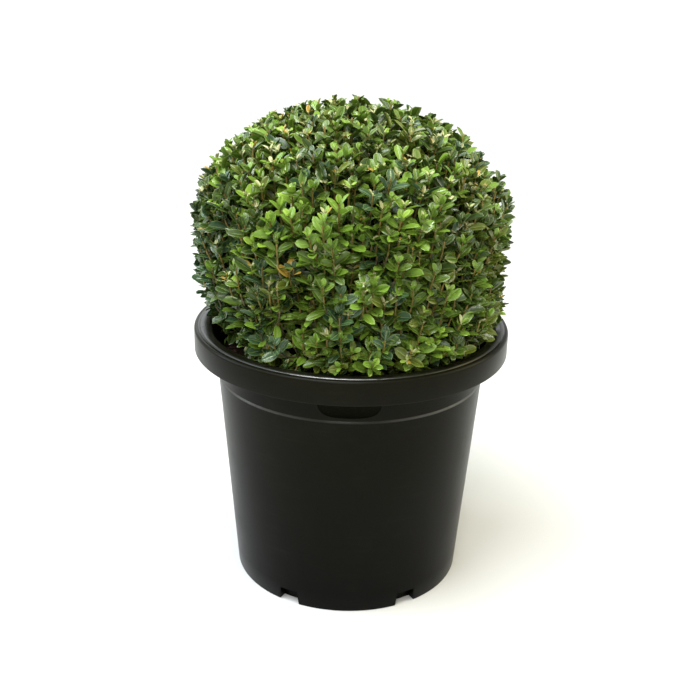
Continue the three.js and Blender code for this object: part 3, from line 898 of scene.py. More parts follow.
# %% Crown rule
CROWN_RADIUS = 156 * MM
CROWN_TOP = 504 * MM
CROWN_SHOULDER = 414 * MM
DOME_POWER = 1.75
CROWN_SKIRT = 316 * MM
CROWN_BOTTOM = 245 * MM
TUCK_POWER = 3.1
CROWN_MIDDLE = Vector((-1, 0, 385)) * MM
REACH = 9.1 * MM
TOP_STRETCH = 1.17
LOWEST_VIEW = math.radians(-44)
GOLDEN_ANGLE = math.pi * (3 - math.sqrt(5))
LEAF_CLEAR = 2 * MM
HALVINGS = 24
UP = Vector((0, 0, 1))


def clip_level(point, depth=0):
    """1 on the clipped surface, or on one that lies deeper by depth, and less inside it."""
    radius = math.hypot(point.x - CROWN_MIDDLE.x, point.y) / (CROWN_RADIUS - depth)
    rise = 0
    power = DOME_POWER
    if point.z > CROWN_SHOULDER:
        rise = (point.z - CROWN_SHOULDER) / (CROWN_TOP - TOP_STRETCH * depth - CROWN_SHOULDER)
    elif point.z < CROWN_SKIRT:
        rise = (CROWN_SKIRT - point.z) / (CROWN_SKIRT - CROWN_BOTTOM)
        power = TUCK_POWER
    return (radius**power + rise**power) ** (1 / power)


def surface_point(direction, depth=0):
    """Where a ray from the crown's middle meets the clipped surface."""
    near = 0
    far = 2 * CROWN_RADIUS
    for halving in range(HALVINGS):
        way = (near + far) / 2
        if clip_level(CROWN_MIDDLE + direction * way, depth) < 1:
            near = way
        else:
            far = way
    return CROWN_MIDDLE + direction * near


def even_direction(index, count):
    """Directions spread evenly round the crown's middle, from its top to the lowest view."""
    lowest = math.sin(LOWEST_VIEW)
    height = 1 - (index + 0.5) / count * (1 - lowest)
    level = math.sqrt(1 - height * height)
    turn = index * GOLDEN_ANGLE
    return Vector((level * math.cos(turn), level * math.sin(turn), height))


def ramp(rise, span):
    """0 without a rise, and evenly more until it is 1 at the span."""
    return min(max(rise / span, 0), 1)


def mouth_inside(height):
    """How far from the axis a leaf may reach inside the pot's mouth."""
    low = inside_radius(NECK_TOP)
    return low + (MOUTH_RADIUS - low) * ramp(height - NECK_TOP, POT_HEIGHT - NECK_TOP) - LEAF_CLEAR


def is_free(point):
    """True for a point in the crown's reach, clear of the pot's rim and of the mix."""
    if clip_level(point, -REACH) > 1:
        return False
    if point.z < POT_HEIGHT + LEAF_CLEAR and point.xy.length > mouth_inside(point.z):
        return False
    return point.z > MIX_TOP + LEAF_CLEAR


print("the clipped top is", round(surface_point(UP).z / MM), "mm above the floor")

# %% [markdown]
# ## Lines that become tubes
# Every limb and twig is a line of points with a radius at each. A few control points pull the
# line into its bends. A curve object with a round bevel turns such lines into closed, tapering
# tubes, which is quicker and smoother than building their rings by hand.


# %% Lines and tubes
def bent(points, share):
    """A point on the smooth curve that a few control points pull on."""
    while len(points) > 1:
        points = [a.lerp(b, share) for a, b in zip(points, points[1:])]
    return points[0]


def line_through(points, count):
    return [bent(points, i / (count - 1)) for i in range(count)]


def tapered(points, radius, loss):
    """Adds a radius to each point of a line. The radius and what it loses are in millimetres."""
    last = len(points) - 1
    return [(point, (radius - loss * k / last) * MM) for k, point in enumerate(points)]


def tubes(name, lines, sides_level):
    """Closed round tubes along lines of (point, radius), as one mesh."""
    curve = bpy.data.curves.new(name, "CURVE")
    curve.dimensions = "3D"
    curve.bevel_depth = 1
    curve.bevel_resolution = sides_level
    curve.use_fill_caps = True
    for line in lines:
        spline = curve.splines.new("POLY")
        spline.points.add(len(line) - 1)
        for spot, (point, radius) in zip(spline.points, line):
            spot.co = (*point, 1)
            spot.radius = radius
    holder = bpy.data.objects.new(name, curve)
    scene.collection.objects.link(holder)
    evaluated = holder.evaluated_get(bpy.context.evaluated_depsgraph_get())
    mesh = bpy.data.meshes.new_from_object(evaluated)
    bpy.data.objects.remove(holder)
    bm = bmesh.new()
    bm.from_mesh(mesh)
    return welded(bm, FINE_WELD)


print("lines can be bent, tapered and turned into tubes")

# %% [markdown]
# ## Stem, boughs and leaders
# A short stem stands on the mix and goes on up through the crown. Five boughs leave it low down
# and rise outwards, and leaders leave it higher up. Their places and the lower stretches are the
# solid's own. The upper stretches only carry the twigs, deep inside the leaves.

# %% Limbs
TRUNK_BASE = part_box("trunk")[0].z
TRUNK_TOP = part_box("trunk")[1].z
TRUNK_FOOT = Vector((-2 * MM, 0, TRUNK_BASE))
TRUNK_TIP = Vector((3 * MM, 3 * MM, TRUNK_TOP + 3 * MM))
TRUNK_STEPS = 16
STEM_HEAD = Vector((7, 5, 428)) * MM

# From here on, numbers without MM are millimetres, apart from shares, turns and counts.
STEM_RADIUS = 11.5
STEM_TAPER = 2.5
FLARE_RADIUS = 7.5
FLARE_SHARE = 0.35
UPPER_STEM = (9, 6.2)  # the radius at its foot, and what it loses on the way
UPPER_STEM_PULL = 60
UPPER_STEM_RINGS = 50

BOUGHS = 5
BOUGH_TURN = 0.3
BOUGH_RISE = 14 * MM
BOUGH_STEP = 3 * MM
BOUGH_REACH = 62 * MM
BOUGH_SHORTER = 4 * MM
BOUGH_BEND = (0.6, 0.35)  # shares of its reach and of its rise
HOLLOW_TOP = 292 * MM
LOWER_BOUGH = (5, 1.2)
LOWER_BOUGH_RINGS = 20
UPPER_BOUGH = (3.8, 1.9)
UPPER_BOUGH_RINGS = 34
BOUGH_ON = 28
BOUGH_OUT = 34
BOUGH_UP = 88
BOUGH_UP_STEP = 9

LEADERS = 9
LEADER_RINGS = 30
LEADER_START = 22  # the stem's ring that the first one leaves
LEADER_GAP = 4
LEADER_RISE = 72
LEADER_RISE_LOSS = 3.5
LEADER_REACH = 78
LEADER_REACH_LOSS = 4
LEADER_BEND = (0.7, 0.2)
LEADER_SHARE = 0.7  # of the stem's radius there
LEADER_MOST = 3.6
LEADER_TAPER = 1.7


def trunk_point(share):
    middle = Vector((TRUNK_FOOT.x, TRUNK_FOOT.y, (MIX_TOP + TRUNK_TOP) / 2))
    return bent([TRUNK_FOOT, middle, TRUNK_TIP], share)


def trunk_radius(share):
    """The stem's radius up to its fork, with the root flare over its lowest third."""
    flare = max(0, 1 - share / FLARE_SHARE)
    return (STEM_RADIUS - STEM_TAPER * share + FLARE_RADIUS * flare * flare) * MM


def level_way(turn):
    return Vector((math.cos(turn), math.sin(turn), 0))


shares = [i / TRUNK_STEPS for i in range(TRUNK_STEPS + 1)]
stem = [(trunk_point(share), trunk_radius(share)) for share in shares]
stem_pulls = [TRUNK_TIP, TRUNK_TIP + UP * UPPER_STEM_PULL * MM, STEM_HEAD]
stem += tapered(line_through(stem_pulls, UPPER_STEM_RINGS), *UPPER_STEM)[1:]
limbs = [stem]
for i in range(BOUGHS):
    out = level_way(2 * math.pi * (i + BOUGH_TURN) / BOUGHS)
    start = trunk_point((BOUGH_RISE + BOUGH_STEP * (2 * i % BOUGHS)) / (TRUNK_TOP - MIX_TOP))
    reach = BOUGH_REACH - BOUGH_SHORTER * (3 * i % BOUGHS)
    end = start + out * reach
    end.z = HOLLOW_TOP + UPPER_BOUGH[0] * MM
    bend = start + out * reach * BOUGH_BEND[0]
    bend.z += (end.z - start.z) * BOUGH_BEND[1]
    beyond = end + (end - bend).normalized() * BOUGH_ON * MM
    head = end + out * BOUGH_OUT * MM + UP * (BOUGH_UP + BOUGH_UP_STEP * (2 * i % BOUGHS)) * MM
    limbs.append(tapered(line_through([start, bend, end], LOWER_BOUGH_RINGS), *LOWER_BOUGH))
    limbs[-1] += tapered(line_through([end, beyond, head], UPPER_BOUGH_RINGS), *UPPER_BOUGH)[1:]
for i in range(LEADERS):
    out = level_way(i * GOLDEN_ANGLE + 1)
    start, radius = stem[LEADER_START + LEADER_GAP * i]
    rise = (LEADER_RISE - LEADER_RISE_LOSS * i) * MM
    reach = (LEADER_REACH - LEADER_REACH_LOSS * i) * MM
    bend = start + out * reach * LEADER_BEND[0] + UP * rise * LEADER_BEND[1]
    line = line_through([start, bend, start + out * reach + UP * rise], LEADER_RINGS)
    limbs.append(tapered(line, min(radius / MM * LEADER_SHARE, LEADER_MOST), LEADER_TAPER))
print(len(limbs), "limbs, the longest with", len(stem), "rings")

# %% [markdown]
# ### Bark relief
# Old box wood has a pale, finely cracked bark that runs lengthwise in corky ridges. The tubes are
# given many sides, and each corner moves along its own normal by noise that is stretched upwards.
# At the foot the flare splits into a few rounded roots.

# %% Bark
RIDGE_SIZE = 2.2 * MM
RIDGE_STRETCH = 0.28
RIDGE_HEIGHT = 0.42  # millimetres, as the next two
KNOT_HEIGHT = 0.5
LOBE_HEIGHT = 1.6
KNOT_SIZE = 11 * MM
ROOT_RISE = 16 * MM
ROOT_LOBES = 5
LOBE_TURN = 0.8
FOOT_SKIN = 0.5 * MM
bark_finish = Finish("box_bark", roughness=0.85, specular_ior_level=0.25)
bark_cracks = bark_finish.noise(3 * MM, 5, bark_finish.place((1, 1, 0.3)), roughness=0.65)
bark_patches = bark_finish.noise(20 * MM)
ridge_tops = bark_finish.steps(bark_cracks, (0.35, 0), (0.65, 1))
bark_colour = bark_finish.mix(ridge_tops, (0.060, 0.038, 0.022), (0.26, 0.19, 0.12))
bark_finish.paint(base_color=bark_finish.mix(bark_patches * 0.5, bark_colour, (0.16, 0.14, 0.10)))
bark_finish.bump(bark_cracks, 0.8 * MM)

bm = tubes("limbs", limbs, 7)
for vert in bm.verts:
    spot = vert.co
    ridges = noise.noise(Vector((spot.x, spot.y, spot.z * RIDGE_STRETCH)) / RIDGE_SIZE)
    knots = noise.noise(spot / KNOT_SIZE)
    low = max(0, 1 - (spot.z - TRUNK_BASE) / ROOT_RISE)
    around = math.atan2(spot.y - TRUNK_FOOT.y, spot.x - TRUNK_FOOT.x)
    lobes = low * LOBE_HEIGHT * math.cos(around * ROOT_LOBES + LOBE_TURN)
    shift = vert.normal.copy()
    if spot.z < TRUNK_BASE + FOOT_SKIN:
        shift.z = 0
    vert.co = spot + shift * (RIDGE_HEIGHT * ridges + KNOT_HEIGHT * knots + lobes) * MM
    vert.co.z = max(vert.co.z, TRUNK_BASE)
shade_by_angle(bm, 60)
print("the limbs have", len(bm.faces), "faces and", open_edges(bm), "open edges")
bough_nodes = ["bough_" + str(i + 1) for i in range(BOUGHS)]
dressed(shown("stem_and_boughs", bm, bark_finish), "bark", "trunk", *bough_nodes)

# %% [markdown]
# ## Twigs
# The solid crown has 94 main shoots. Here the same rule places them, each grows on from the
# nearest limb, and the rule is carried to about 1070 finer shoots that leave the main ones. Slow
# noise leaves dark recesses between the tips, shallower ones towards the top, and a few shoots
# that grew after the clipping stand out. The photo shows the crown thinner low on the left, dented
# high on the right and full between, so three caps round those sides move the tips in or out.

# %% Shoot rule
TIP_SPREAD = 9 * MM
RECESS_SIZE = 0.22
RECESS_DEPTH = 46 * MM
RECESS_LEAST = 0.08
RECESS_TOP_LOSS = 0.55
THIN_SIDE = Vector((-0.70, -0.36, -0.70)).normalized()
DENT_SIDE = Vector((0.87, -0.05, 0.49)).normalized()
FULL_SIDE = Vector((-0.6, 0.3, 0.74)).normalized()
THIN_EDGE = 0.86  # the cosine at a cap's edge, as the next two
DENT_EDGE = 0.94
FULL_EDGE = 0.9
THIN_DEPTH = 170  # millimetres for a cosine of 1 more, as the next two
DENT_DEPTH = 180
FULL_HEIGHT = 60
LONG_LEAST = 3  # millimetres that a long shoot stands out on the top
LONG_MORE = 6
LONG_SIDE_SHARE = 0.3


def into_cap(direction, side, edge):
    """0 outside a cap round a side of the crown, and more towards the cap's middle."""
    return max(0, direction.dot(side) - edge)


def tip_depth(direction, chance, long):
    """How far a tip lies under the clipped surface. It is negative for one that stands out."""
    thin = into_cap(direction, THIN_SIDE, THIN_EDGE) * THIN_DEPTH * MM
    if long and thin == 0:
        return -(LONG_LEAST + LONG_MORE * chance) * max(direction.z, LONG_SIDE_SHARE) * MM
    hollow = max(0, noise.noise(direction / RECESS_SIZE) - RECESS_LEAST) * RECESS_DEPTH
    hollow *= 1 - RECESS_TOP_LOSS * max(direction.z, 0)
    dent = into_cap(direction, DENT_SIDE, DENT_EDGE) * DENT_DEPTH * MM
    full = into_cap(direction, FULL_SIDE, FULL_EDGE) * FULL_HEIGHT * MM
    return hollow + thin + dent - full + TIP_SPREAD * chance


print("a tip on the thin side lies", round(tip_depth(THIN_SIDE, 0, False) / MM), "mm deep")

# %% [markdown]
# ### Where a shoot starts
# A shoot starts under its tip and nearer the axis, then bends up and out to the clipped surface.
# It leaves the nearest point of a limb or a main shoot. Points above its root count as further
# away, because twigs rather rise than drop.

# %% Shoot starts
SHOOT_ROOT_SHARE = 0.8
SHOOT_RISE = 44 * MM
SHOOT_BEND = 0.95
SHOOT_BEND_HEIGHT = 0.4
SHOOT_LOW = 280 * MM
DROP_COST = 3
LEAST_POINTS = 2


class Spots:
    """Points along lines, to find the nearest one that a new twig can leave."""

    def __init__(self, lines, keep=1):
        kept = [line[: max(LEAST_POINTS, int(len(line) * keep))] for line in lines]
        self.points = np.array([point[:] for line in kept for point, radius in line])
        self.radii = [radius for line in kept for point, radius in line]

    def nearest(self, root):
        away = np.linalg.norm(self.points - np.array(root), axis=1)
        away += DROP_COST * np.maximum(self.points[:, 2] - root.z, 0)
        best = int(away.argmin())
        return Vector(self.points[best]), self.radii[best]


def shoot_points(tip, root_share=SHOOT_ROOT_SHARE, rise=SHOOT_RISE):
    """A shoot's root and the point that its curve bends towards."""
    root = Vector((tip.x * root_share, tip.y * root_share, max(tip.z - rise, SHOOT_LOW)))
    height = root.z + (tip.z - root.z) * SHOOT_BEND_HEIGHT
    return root, Vector((tip.x * SHOOT_BEND, tip.y * SHOOT_BEND, height))


limb_spots = Spots(limbs)
print("main shoots can leave the limbs at", len(limb_spots.radii), "points")

# %% [markdown]
# ### Growing the shoots
# The directions are spread evenly, and those of the fine shoots are shaken a little. A tip that
# would leave the crown's reach or touch the pot is left off, and so is a fine shoot whose outer
# part would.

# %% Shoots
MAIN_SHOOTS = 94
MAIN_DEPTH = 6 * MM
MAIN_RINGS = 14
MAIN_RADIUS = 2.1 * MM
MAIN_TAPER = 0.55
FORK_SHARE = 0.85
FINE_SHOOTS = 1080
FINE_RINGS = 9
FREE_FROM = 3  # the first ring that has to be clear of the pot
DIRECTION_SHAKE = 0.05
BEND_SHAKE = 5  # millimetres
LONG_SHARE = 0.1
LOW_SPRAYS = 318 * MM
LEANS = (0.80, 0.93)
LOW_LEANS = (0.86, 0.94)
RISES = (0.8, 1.3)

draw = seeded(CROWN_SEED)
main_shares = [1 - MAIN_TAPER * k / (MAIN_RINGS - 1) for k in range(MAIN_RINGS)]
main_lines = []
for i in range(MAIN_SHOOTS):
    tip = surface_point(even_direction(i, MAIN_SHOOTS), TIP_SPREAD * draw() + MAIN_DEPTH)
    if not is_free(tip):
        continue
    root, bend = shoot_points(tip)
    start, radius = limb_spots.nearest(root)
    thick = min(radius, MAIN_RADIUS)
    points = line_through([start, root, bend, tip], MAIN_RINGS)
    main_lines.append([(point, thick * share) for point, share in zip(points, main_shares)])

main_spots = Spots(main_lines + limbs[1:], FORK_SHARE)
fine_lines = []
fine_directions = []
long_shoots = set()
for i in range(FINE_SHOOTS):
    direction = even_direction(i, FINE_SHOOTS)
    direction += Vector([between(draw, -1, 1) for axis in "XYZ"]) * DIRECTION_SHAKE
    direction.normalize()
    long = draw() < LONG_SHARE
    tip = surface_point(direction, tip_depth(direction, draw(), long))
    if not is_free(tip):
        continue
    lean = between(draw, *(LEANS if tip.z > LOW_SPRAYS else LOW_LEANS))
    root, bend = shoot_points(tip, lean, SHOOT_RISE * between(draw, *RISES))
    bend += Vector((between(draw, -1, 1), between(draw, -1, 1), 0)) * BEND_SHAKE * MM
    start, radius = main_spots.nearest(root)
    points = line_through([start, root, bend, tip], FINE_RINGS)
    if not all(is_free(point) for point in points[FREE_FROM:]):
        continue
    if long:
        long_shoots.add(len(fine_lines))
    fine_lines.append(points)
    fine_directions.append(direction)
print(len(main_lines), "main shoots,", len(fine_lines), "fine shoots and", len(long_shoots), "long ones")

# %% [markdown]
# ### Twig finish and mesh
# Last year's wood is dull olive brown, and the young shoots run from green to orange brown. Each is
# a blend of two colours, on pieces of its own, so the export keeps them apart. The outer part of a
# fine shoot is young, and swells a little at its knots. On the thin side low on the left the
# shoots take the old wood's darker colour up to their tips, as painted shade.

# %% Twig pieces
WOOD_END = 5  # the ring where young wood starts
WOOD_RADIUS = 1.2  # millimetres, as the next three
WOOD_TAPER = 0.05
YOUNG_RADIUS = 0.98
YOUNG_TAPER = 0.2
YOUNG_STEPS = 12
KNOT_EVERY = 3
KNOT_SWELL = 1.32
BETWEEN_KNOTS = 0.9
twig_tones = ((0.058, 0.050, 0.020), (0.13, 0.105, 0.045))
shoot_tones = ((0.10, 0.105, 0.022), (0.29, 0.175, 0.036))
twig_finish = mottled("old_and_shaded_twigs", 6 * MM, 3, *twig_tones, 0.3 * MM, roughness=0.7)
shoot_finish = mottled("young_shoots", 9 * MM, 2, *shoot_tones, 0.2 * MM, roughness=0.5)


def twig_piece(name, lines, sides_level, degrees, finish):
    """All the tubes of one kind as a piece."""
    bm = tubes(name, lines, sides_level)
    shade_by_angle(bm, degrees)
    return dressed(shown(name, bm, finish), "bark")


def knotty(points):
    """A young shoot's line, thicker at every third step."""
    line = []
    for k in range(YOUNG_STEPS + 1):
        place = k / YOUNG_STEPS * (len(points) - 1)
        step = min(int(place), len(points) - 2)
        spot = points[step].lerp(points[step + 1], place - step)
        swell = KNOT_SWELL if k % KNOT_EVERY == 1 else BETWEEN_KNOTS
        line.append((spot, (YOUNG_RADIUS - YOUNG_TAPER * k / YOUNG_STEPS) * swell * MM))
    return line


twig_piece("main_shoots", main_lines, 1, 80, twig_finish)
wood_and_shaded_lines = []
shoot_lines = []
for points, direction in zip(fine_lines, fine_directions):
    # Painted shade: on the thin side the whole shoot takes the darker old-wood finish.
    in_painted_shade = into_cap(direction, THIN_SIDE, THIN_EDGE) > 0
    wood = points if in_painted_shade else points[: WOOD_END + 1]
    wood_and_shaded_lines.append([(point, (WOOD_RADIUS - WOOD_TAPER * k) * MM) for k, point in enumerate(wood)])
    if not in_painted_shade:
        shoot_lines.append(knotty(points[WOOD_END:]))
twig_piece("fine_wood_and_shaded_shoots", wood_and_shaded_lines, 0, 100, twig_finish)
shoots = twig_piece("fine_shoots", shoot_lines, 0, 100, shoot_finish)
print("fine shoots have", len(shoots.data.polygons), "faces")

# %% [markdown]
# ## One leaf
# A box leaf is 14 to 20 mm long, leathery, and folded a little along a pale midrib. It is narrow
# at its foot, widest past its middle and blunt at its tip. The pattern starts as a small grid:
# five steps along the leaf and one strip on each side of the rib. Its rows are pulled in to the
# leaf's outline, and a copy underneath, welded along the margin and lowered at its keel, closes it.
# A UV chart runs from foot to tip and from margin to margin, for the veins in the finish. Three
# leaves differ in their fold and arch, and a fourth ends where the shears cut it straight across.

# %% Leaf patterns
LEAF_STATIONS = (0, 0.14, 0.36, 0.62, 0.87, 1)
LEAF_OUTLINE = (0.1, 0.55, 0.9, 1, 0.68, 0)
CUT_STATIONS = (0, 0.14, 0.36, 0.56, 0.6)
CUT_OUTLINE = (0.1, 0.55, 0.9, 1, 0.9)
LEAF_THICKNESS = 0.03
UNDERSIDE = 1
LEAF_SHAPES = ("a", "b", "c", "clipped")
CUT_KIND = LEAF_SHAPES.index("clipped")


def leaf_pattern(fold, arch, stations=LEAF_STATIONS, outline=LEAF_OUTLINE):
    """A closed leaf one long and one wide. Fold lifts its margins, arch bends its tip down."""
    bm = bmesh.new()
    chart = bm.loops.layers.uv.new("leaf_chart")
    columns = len(stations) - 1
    bmesh.ops.create_grid(bm, x_segments=columns, y_segments=2, size=0.5)
    middle = []
    for vert in bm.verts:
        column = round((vert.co.x + 0.5) * columns)
        side = round(vert.co.y * 2)
        along = stations[column]
        for loop in vert.link_loops:
            loop[chart].uv = (along, 0.5 + side / 2)
        lift = fold * abs(side) * outline[column] - arch * along * along
        vert.co = (along, side * outline[column] / 2, lift)
        if side == 0 and 0 < column < columns:
            middle.append(vert)
    under = bmesh.ops.duplicate(bm, geom=bm.verts[:] + bm.edges[:] + bm.faces[:])
    under_faces = [item for item in under["geom"] if isinstance(item, bmesh.types.BMFace)]
    bmesh.ops.reverse_faces(bm, faces=under_faces)
    for face in under_faces:
        face.material_index = UNDERSIDE
    for vert in middle:
        under["vert_map"][vert].co.z -= LEAF_THICKNESS
    bmesh.ops.remove_doubles(bm, verts=bm.verts, dist=1e-5)
    return Pattern(bm)


leaf_kinds = [
    leaf_pattern(0.09, 0.08),
    leaf_pattern(0.17, -0.05),
    leaf_pattern(0.05, 0.22),
    leaf_pattern(0.08, 0.10, CUT_STATIONS, CUT_OUTLINE),
]
for shape, pattern in zip(LEAF_SHAPES, leaf_kinds):
    print("leaf", shape, "has", len(pattern.triangles), "triangles and", pattern.open_edges, "open edges")

# %% [markdown]
# ## Leaf colours by spray
# A clipped box shows many greens: deep older leaves, mid greens, a bluish green where the sky
# lights it, duller olive ones low down, and fresh yellow green shoots. Amber and cream are for the
# odd dry leaf and for torn scraps. Each spray takes one tint, and each tint has two finishes: the
# blade's, where the leaf's UV chart draws the pale midrib, faint veins, and a pale margin that is
# partly the leaf's paler edge and partly a painted highlight, and the plainer underside's. Two near
# tones keep a blade from looking painted. Its gloss changes from patch to patch, and a fine bump
# puffs it up on both sides of the rib.

# %% Leaf finishes
TINTS = {
    "deep": (0.027, 0.062, 0.010),
    "blue": (0.023, 0.070, 0.032),
    "mid": (0.074, 0.144, 0.012),
    "olive": (0.096, 0.130, 0.013),
    "light": (0.155, 0.285, 0.028),
    "fresh": (0.280, 0.450, 0.050),
    "amber": (0.520, 0.320, 0.050),
    "cream": (0.520, 0.520, 0.250),
}
PALE = (0.46, 0.56, 0.13)
BLACK = (0, 0, 0)
VEIN_PAIRS = 14
VEIN_SLANT = 0.12


def blend(colour, other, share):
    return tuple(a + (b - a) * share for a, b in zip(colour, other))


def leaf_finishes(tint):
    """The blade's finish and the underside's, in one tint."""
    colour = TINTS[tint]
    blade = Finish(tint + "_leaf_blade", specular_ior_level=0.5)
    spot = blade.node("ShaderNodeUVMap", {"uv_map": "leaf_chart"})
    spread = blade.node("ShaderNodeSeparateXYZ", {}, {0: spot}, output="Y")
    length = blade.node("ShaderNodeSeparateXYZ", {}, {0: spot}, output="X")
    from_rib = abs(spread * 2 - 1)
    rib = blade.steps(from_rib, (0.03, 1), (0.13, 0)) * (1 - length * 0.6)
    # The pale margin is partly the leaf's paler edge and partly a painted highlight along it.
    margin = blade.steps(from_rib, (0.86, 0), (0.98, 1))
    patches = blade.noise(7 * MM)
    tone = blade.mix(patches, blend(colour, BLACK, 0.3), blend(colour, PALE, 0.06))
    blade.paint(base_color=blade.mix(rib * 0.45 + margin * 0.28, tone, PALE))
    blade.paint(roughness=blade.steps(blade.noise(16 * MM, 1), (0.3, 0.14), (0.7, 0.33)))
    puff = from_rib * (1 - from_rib) * 4
    slanted = (length - from_rib * VEIN_SLANT) * VEIN_PAIRS
    veins = blade.steps(slanted.fraction(), (0, 0), (0.5, 1), (1, 0))
    blade.bump(puff * 0.8 + veins * 0.1 + patches * 0.1, 0.45 * MM)
    under_tones = (blend(colour, PALE, 0.12), blend(colour, PALE, 0.26))
    under_looks = {"roughness": 0.6, "specular_ior_level": 0.3}
    under = mottled(tint + "_leaf_underside", 6 * MM, 2, *under_tones, **under_looks)
    return blade, under


print(len(TINTS), "tints")

# %% [markdown]
# ### Which spray takes which tint
# Where the photo shows a bright young spray, the shoots whose tips fall on that spot take the
# fresh or the light tint, so the spots are named in the photo's pixels. The tip of one spray near
# the middle has turned amber. Everywhere else chance decides, with odds that follow the height and
# the side: cool deep greens on the left, brighter ones in the middle, duller ones low down. Noise
# shifts the line between left, middle and right from tip to tip, so that the change is gradual.

# %% Tints by place
FRESH_SPOTS = ((282, 192, 2), (262, 238, 2), (230, 236, 1), (244, 252, 1), (428, 333, 1))
LIGHT_SPOTS = (
    (312, 214, 3), (334, 208, 3), (345, 226, 2), (320, 236, 2), (330, 262, 2), (392, 214, 1),
    (300, 250, 1), (411, 300, 1), (362, 240, 1), (345, 300, 1), (440, 292, 1), (372, 216, 1),
)
AMBER_SPOTS = ((279, 268, 1),)
SPOT_REACH = 14  # pixels
SCATTER_GRAIN = 9 * MM
TINT_SCATTER = 85 * MM
LEFT_EDGE = 15 * MM
MIDDLE_REACH = 70 * MM
MIDDLE_TOP = 445 * MM
LOW_TOP = LOW_SPRAYS - 12 * MM
ODDS = {
    "low": (("olive", 0.5), ("mid", 0.68), ("light", 0.74), ("deep", 1)),
    "middle": (
        ("deep", 0.10), ("mid", 0.50), ("olive", 0.64), ("blue", 0.73), ("light", 0.97), ("fresh", 1),
    ),
    "top": (
        ("deep", 0.21), ("blue", 0.30), ("mid", 0.64), ("olive", 0.80), ("light", 0.985), ("fresh", 1),
    ),
    "left": (("deep", 0.55), ("blue", 0.84), ("mid", 0.97), ("light", 0.995), ("fresh", 1)),
    "right": (("deep", 0.32), ("mid", 0.70), ("olive", 0.92), ("light", 0.985), ("fresh", 1)),
}


def shoots_at(spots):
    """The shoots on the camera's side whose tips fall nearest each spot of the photo."""
    found = set()
    for across, down, count in spots:
        ranked = []
        for index, points in enumerate(fine_lines):
            tip = points[-1]
            if (EYE - tip).dot(fine_directions[index]) < 0:
                continue
            x, y = pixel_of(tip)
            ranked.append((math.hypot(x - across, y - down), index))
        ranked.sort()
        found.update(index for away, index in ranked[:count] if away < SPOT_REACH)
    return found


fresh_shoots = shoots_at(FRESH_SPOTS)
light_shoots = shoots_at(LIGHT_SPOTS) - fresh_shoots
amber_shoots = shoots_at(AMBER_SPOTS)


def picked(odds, chance):
    """The first tint whose limit the chance doesn't pass."""
    return next(tint for tint, limit in odds if chance <= limit)


def tint_of(index, tip, chance):
    """The tint of a whole spray."""
    for tint, named in (("fresh", fresh_shoots), ("light", light_shoots), ("amber", amber_shoots)):
        if index in named:
            return tint
    aside = tip.x + noise.noise(tip / SCATTER_GRAIN) * TINT_SCATTER
    place = "left" if aside < LEFT_EDGE else "right"
    if tip.z < LOW_TOP:
        place = "low"
    elif tip.z > MIDDLE_TOP:
        place = "top"
    elif abs(aside) < MIDDLE_REACH and tip.y < 0:
        place = "middle"
    return picked(ODDS[place], chance)


print(len(fresh_shoots), "fresh sprays,", len(light_shoots), "light and", len(amber_shoots), "amber")

# %% [markdown]
# ## Leaves along the shoots
# Box leaves stand in opposite pairs, and each pair is turned a quarter round the shoot from the
# last. The youngest pairs at the tip are small and upright, and older ones are larger and spread
# wide. A leaf that would leave the crown's reach or touch the pot is made smaller, in two steps,
# and where the smallest doesn't fit either, it isn't added.

# %% Leaf sizes and fitting
LEAF_LENGTH = 17.5 * MM
LEAF_WIDTH = 8.8 * MM
PAIR_GAPS = (1, 4, 7, 9, 10.5, 11.5, 12, 12, 12)  # millimetres to the pair before, the tip's first
PAIR_SIZES = (0.5, 0.75, 0.95, 1.07, 1.08, 1.05, 1, 0.92, 0.88)  # times the length above
PAIR_SPREADS = (26, 38, 48, 56, 62, 66, 70, 74, 76)  # degrees between leaf and shoot
FITTING = (1, 0.8, 0.62)
LEAST_ACROSS = 1e-4
pairs = list(zip(PAIR_GAPS, PAIR_SIZES, PAIR_SPREADS))
copies = {}


def reach_back(points, distance):
    """The point at a distance back from the end of a line, and the line's direction there."""
    for inner, outer in zip(points[-2::-1], points[:0:-1]):
        step = (outer - inner).length
        if distance <= step:
            return outer.lerp(inner, distance / step), (outer - inner).normalized()
        distance -= step
    return None


def add_leaf(tint, kind, root, along, facing, length, width):
    """Adds a leaf at the largest size that is free. Returns False where none is."""
    across = facing.cross(along)
    if across.length < LEAST_ACROSS:
        return False
    across.normalize()
    normal = along.cross(across)
    for size in FITTING:
        blade = along * length * size
        side = across * width * size
        middle = root + blade * 0.5
        if is_free(root + blade) and is_free(middle + side * 0.5) and is_free(middle - side * 0.5):
            block = (blade, side, normal * length * size, root)
            copies.setdefault((tint, kind), []).append(block)
            return True
    return False


print("a shoot bears up to", len(pairs), "pairs of leaves")

# %% [markdown]
# ### Pair by pair
# More than half of the shoots, and most of those on the top, end where the shears cut them, and
# have lost their youngest pairs. There some leaves that pass the clipped surface are cut across
# too. On the other shoots the youngest pair is a tone lighter, unless the spray is a dark one. Low
# sprays droop towards the pot, and on the sides the leaves turn their faces outwards. A leaf that
# finds no room is tried once more, closer to its shoot.

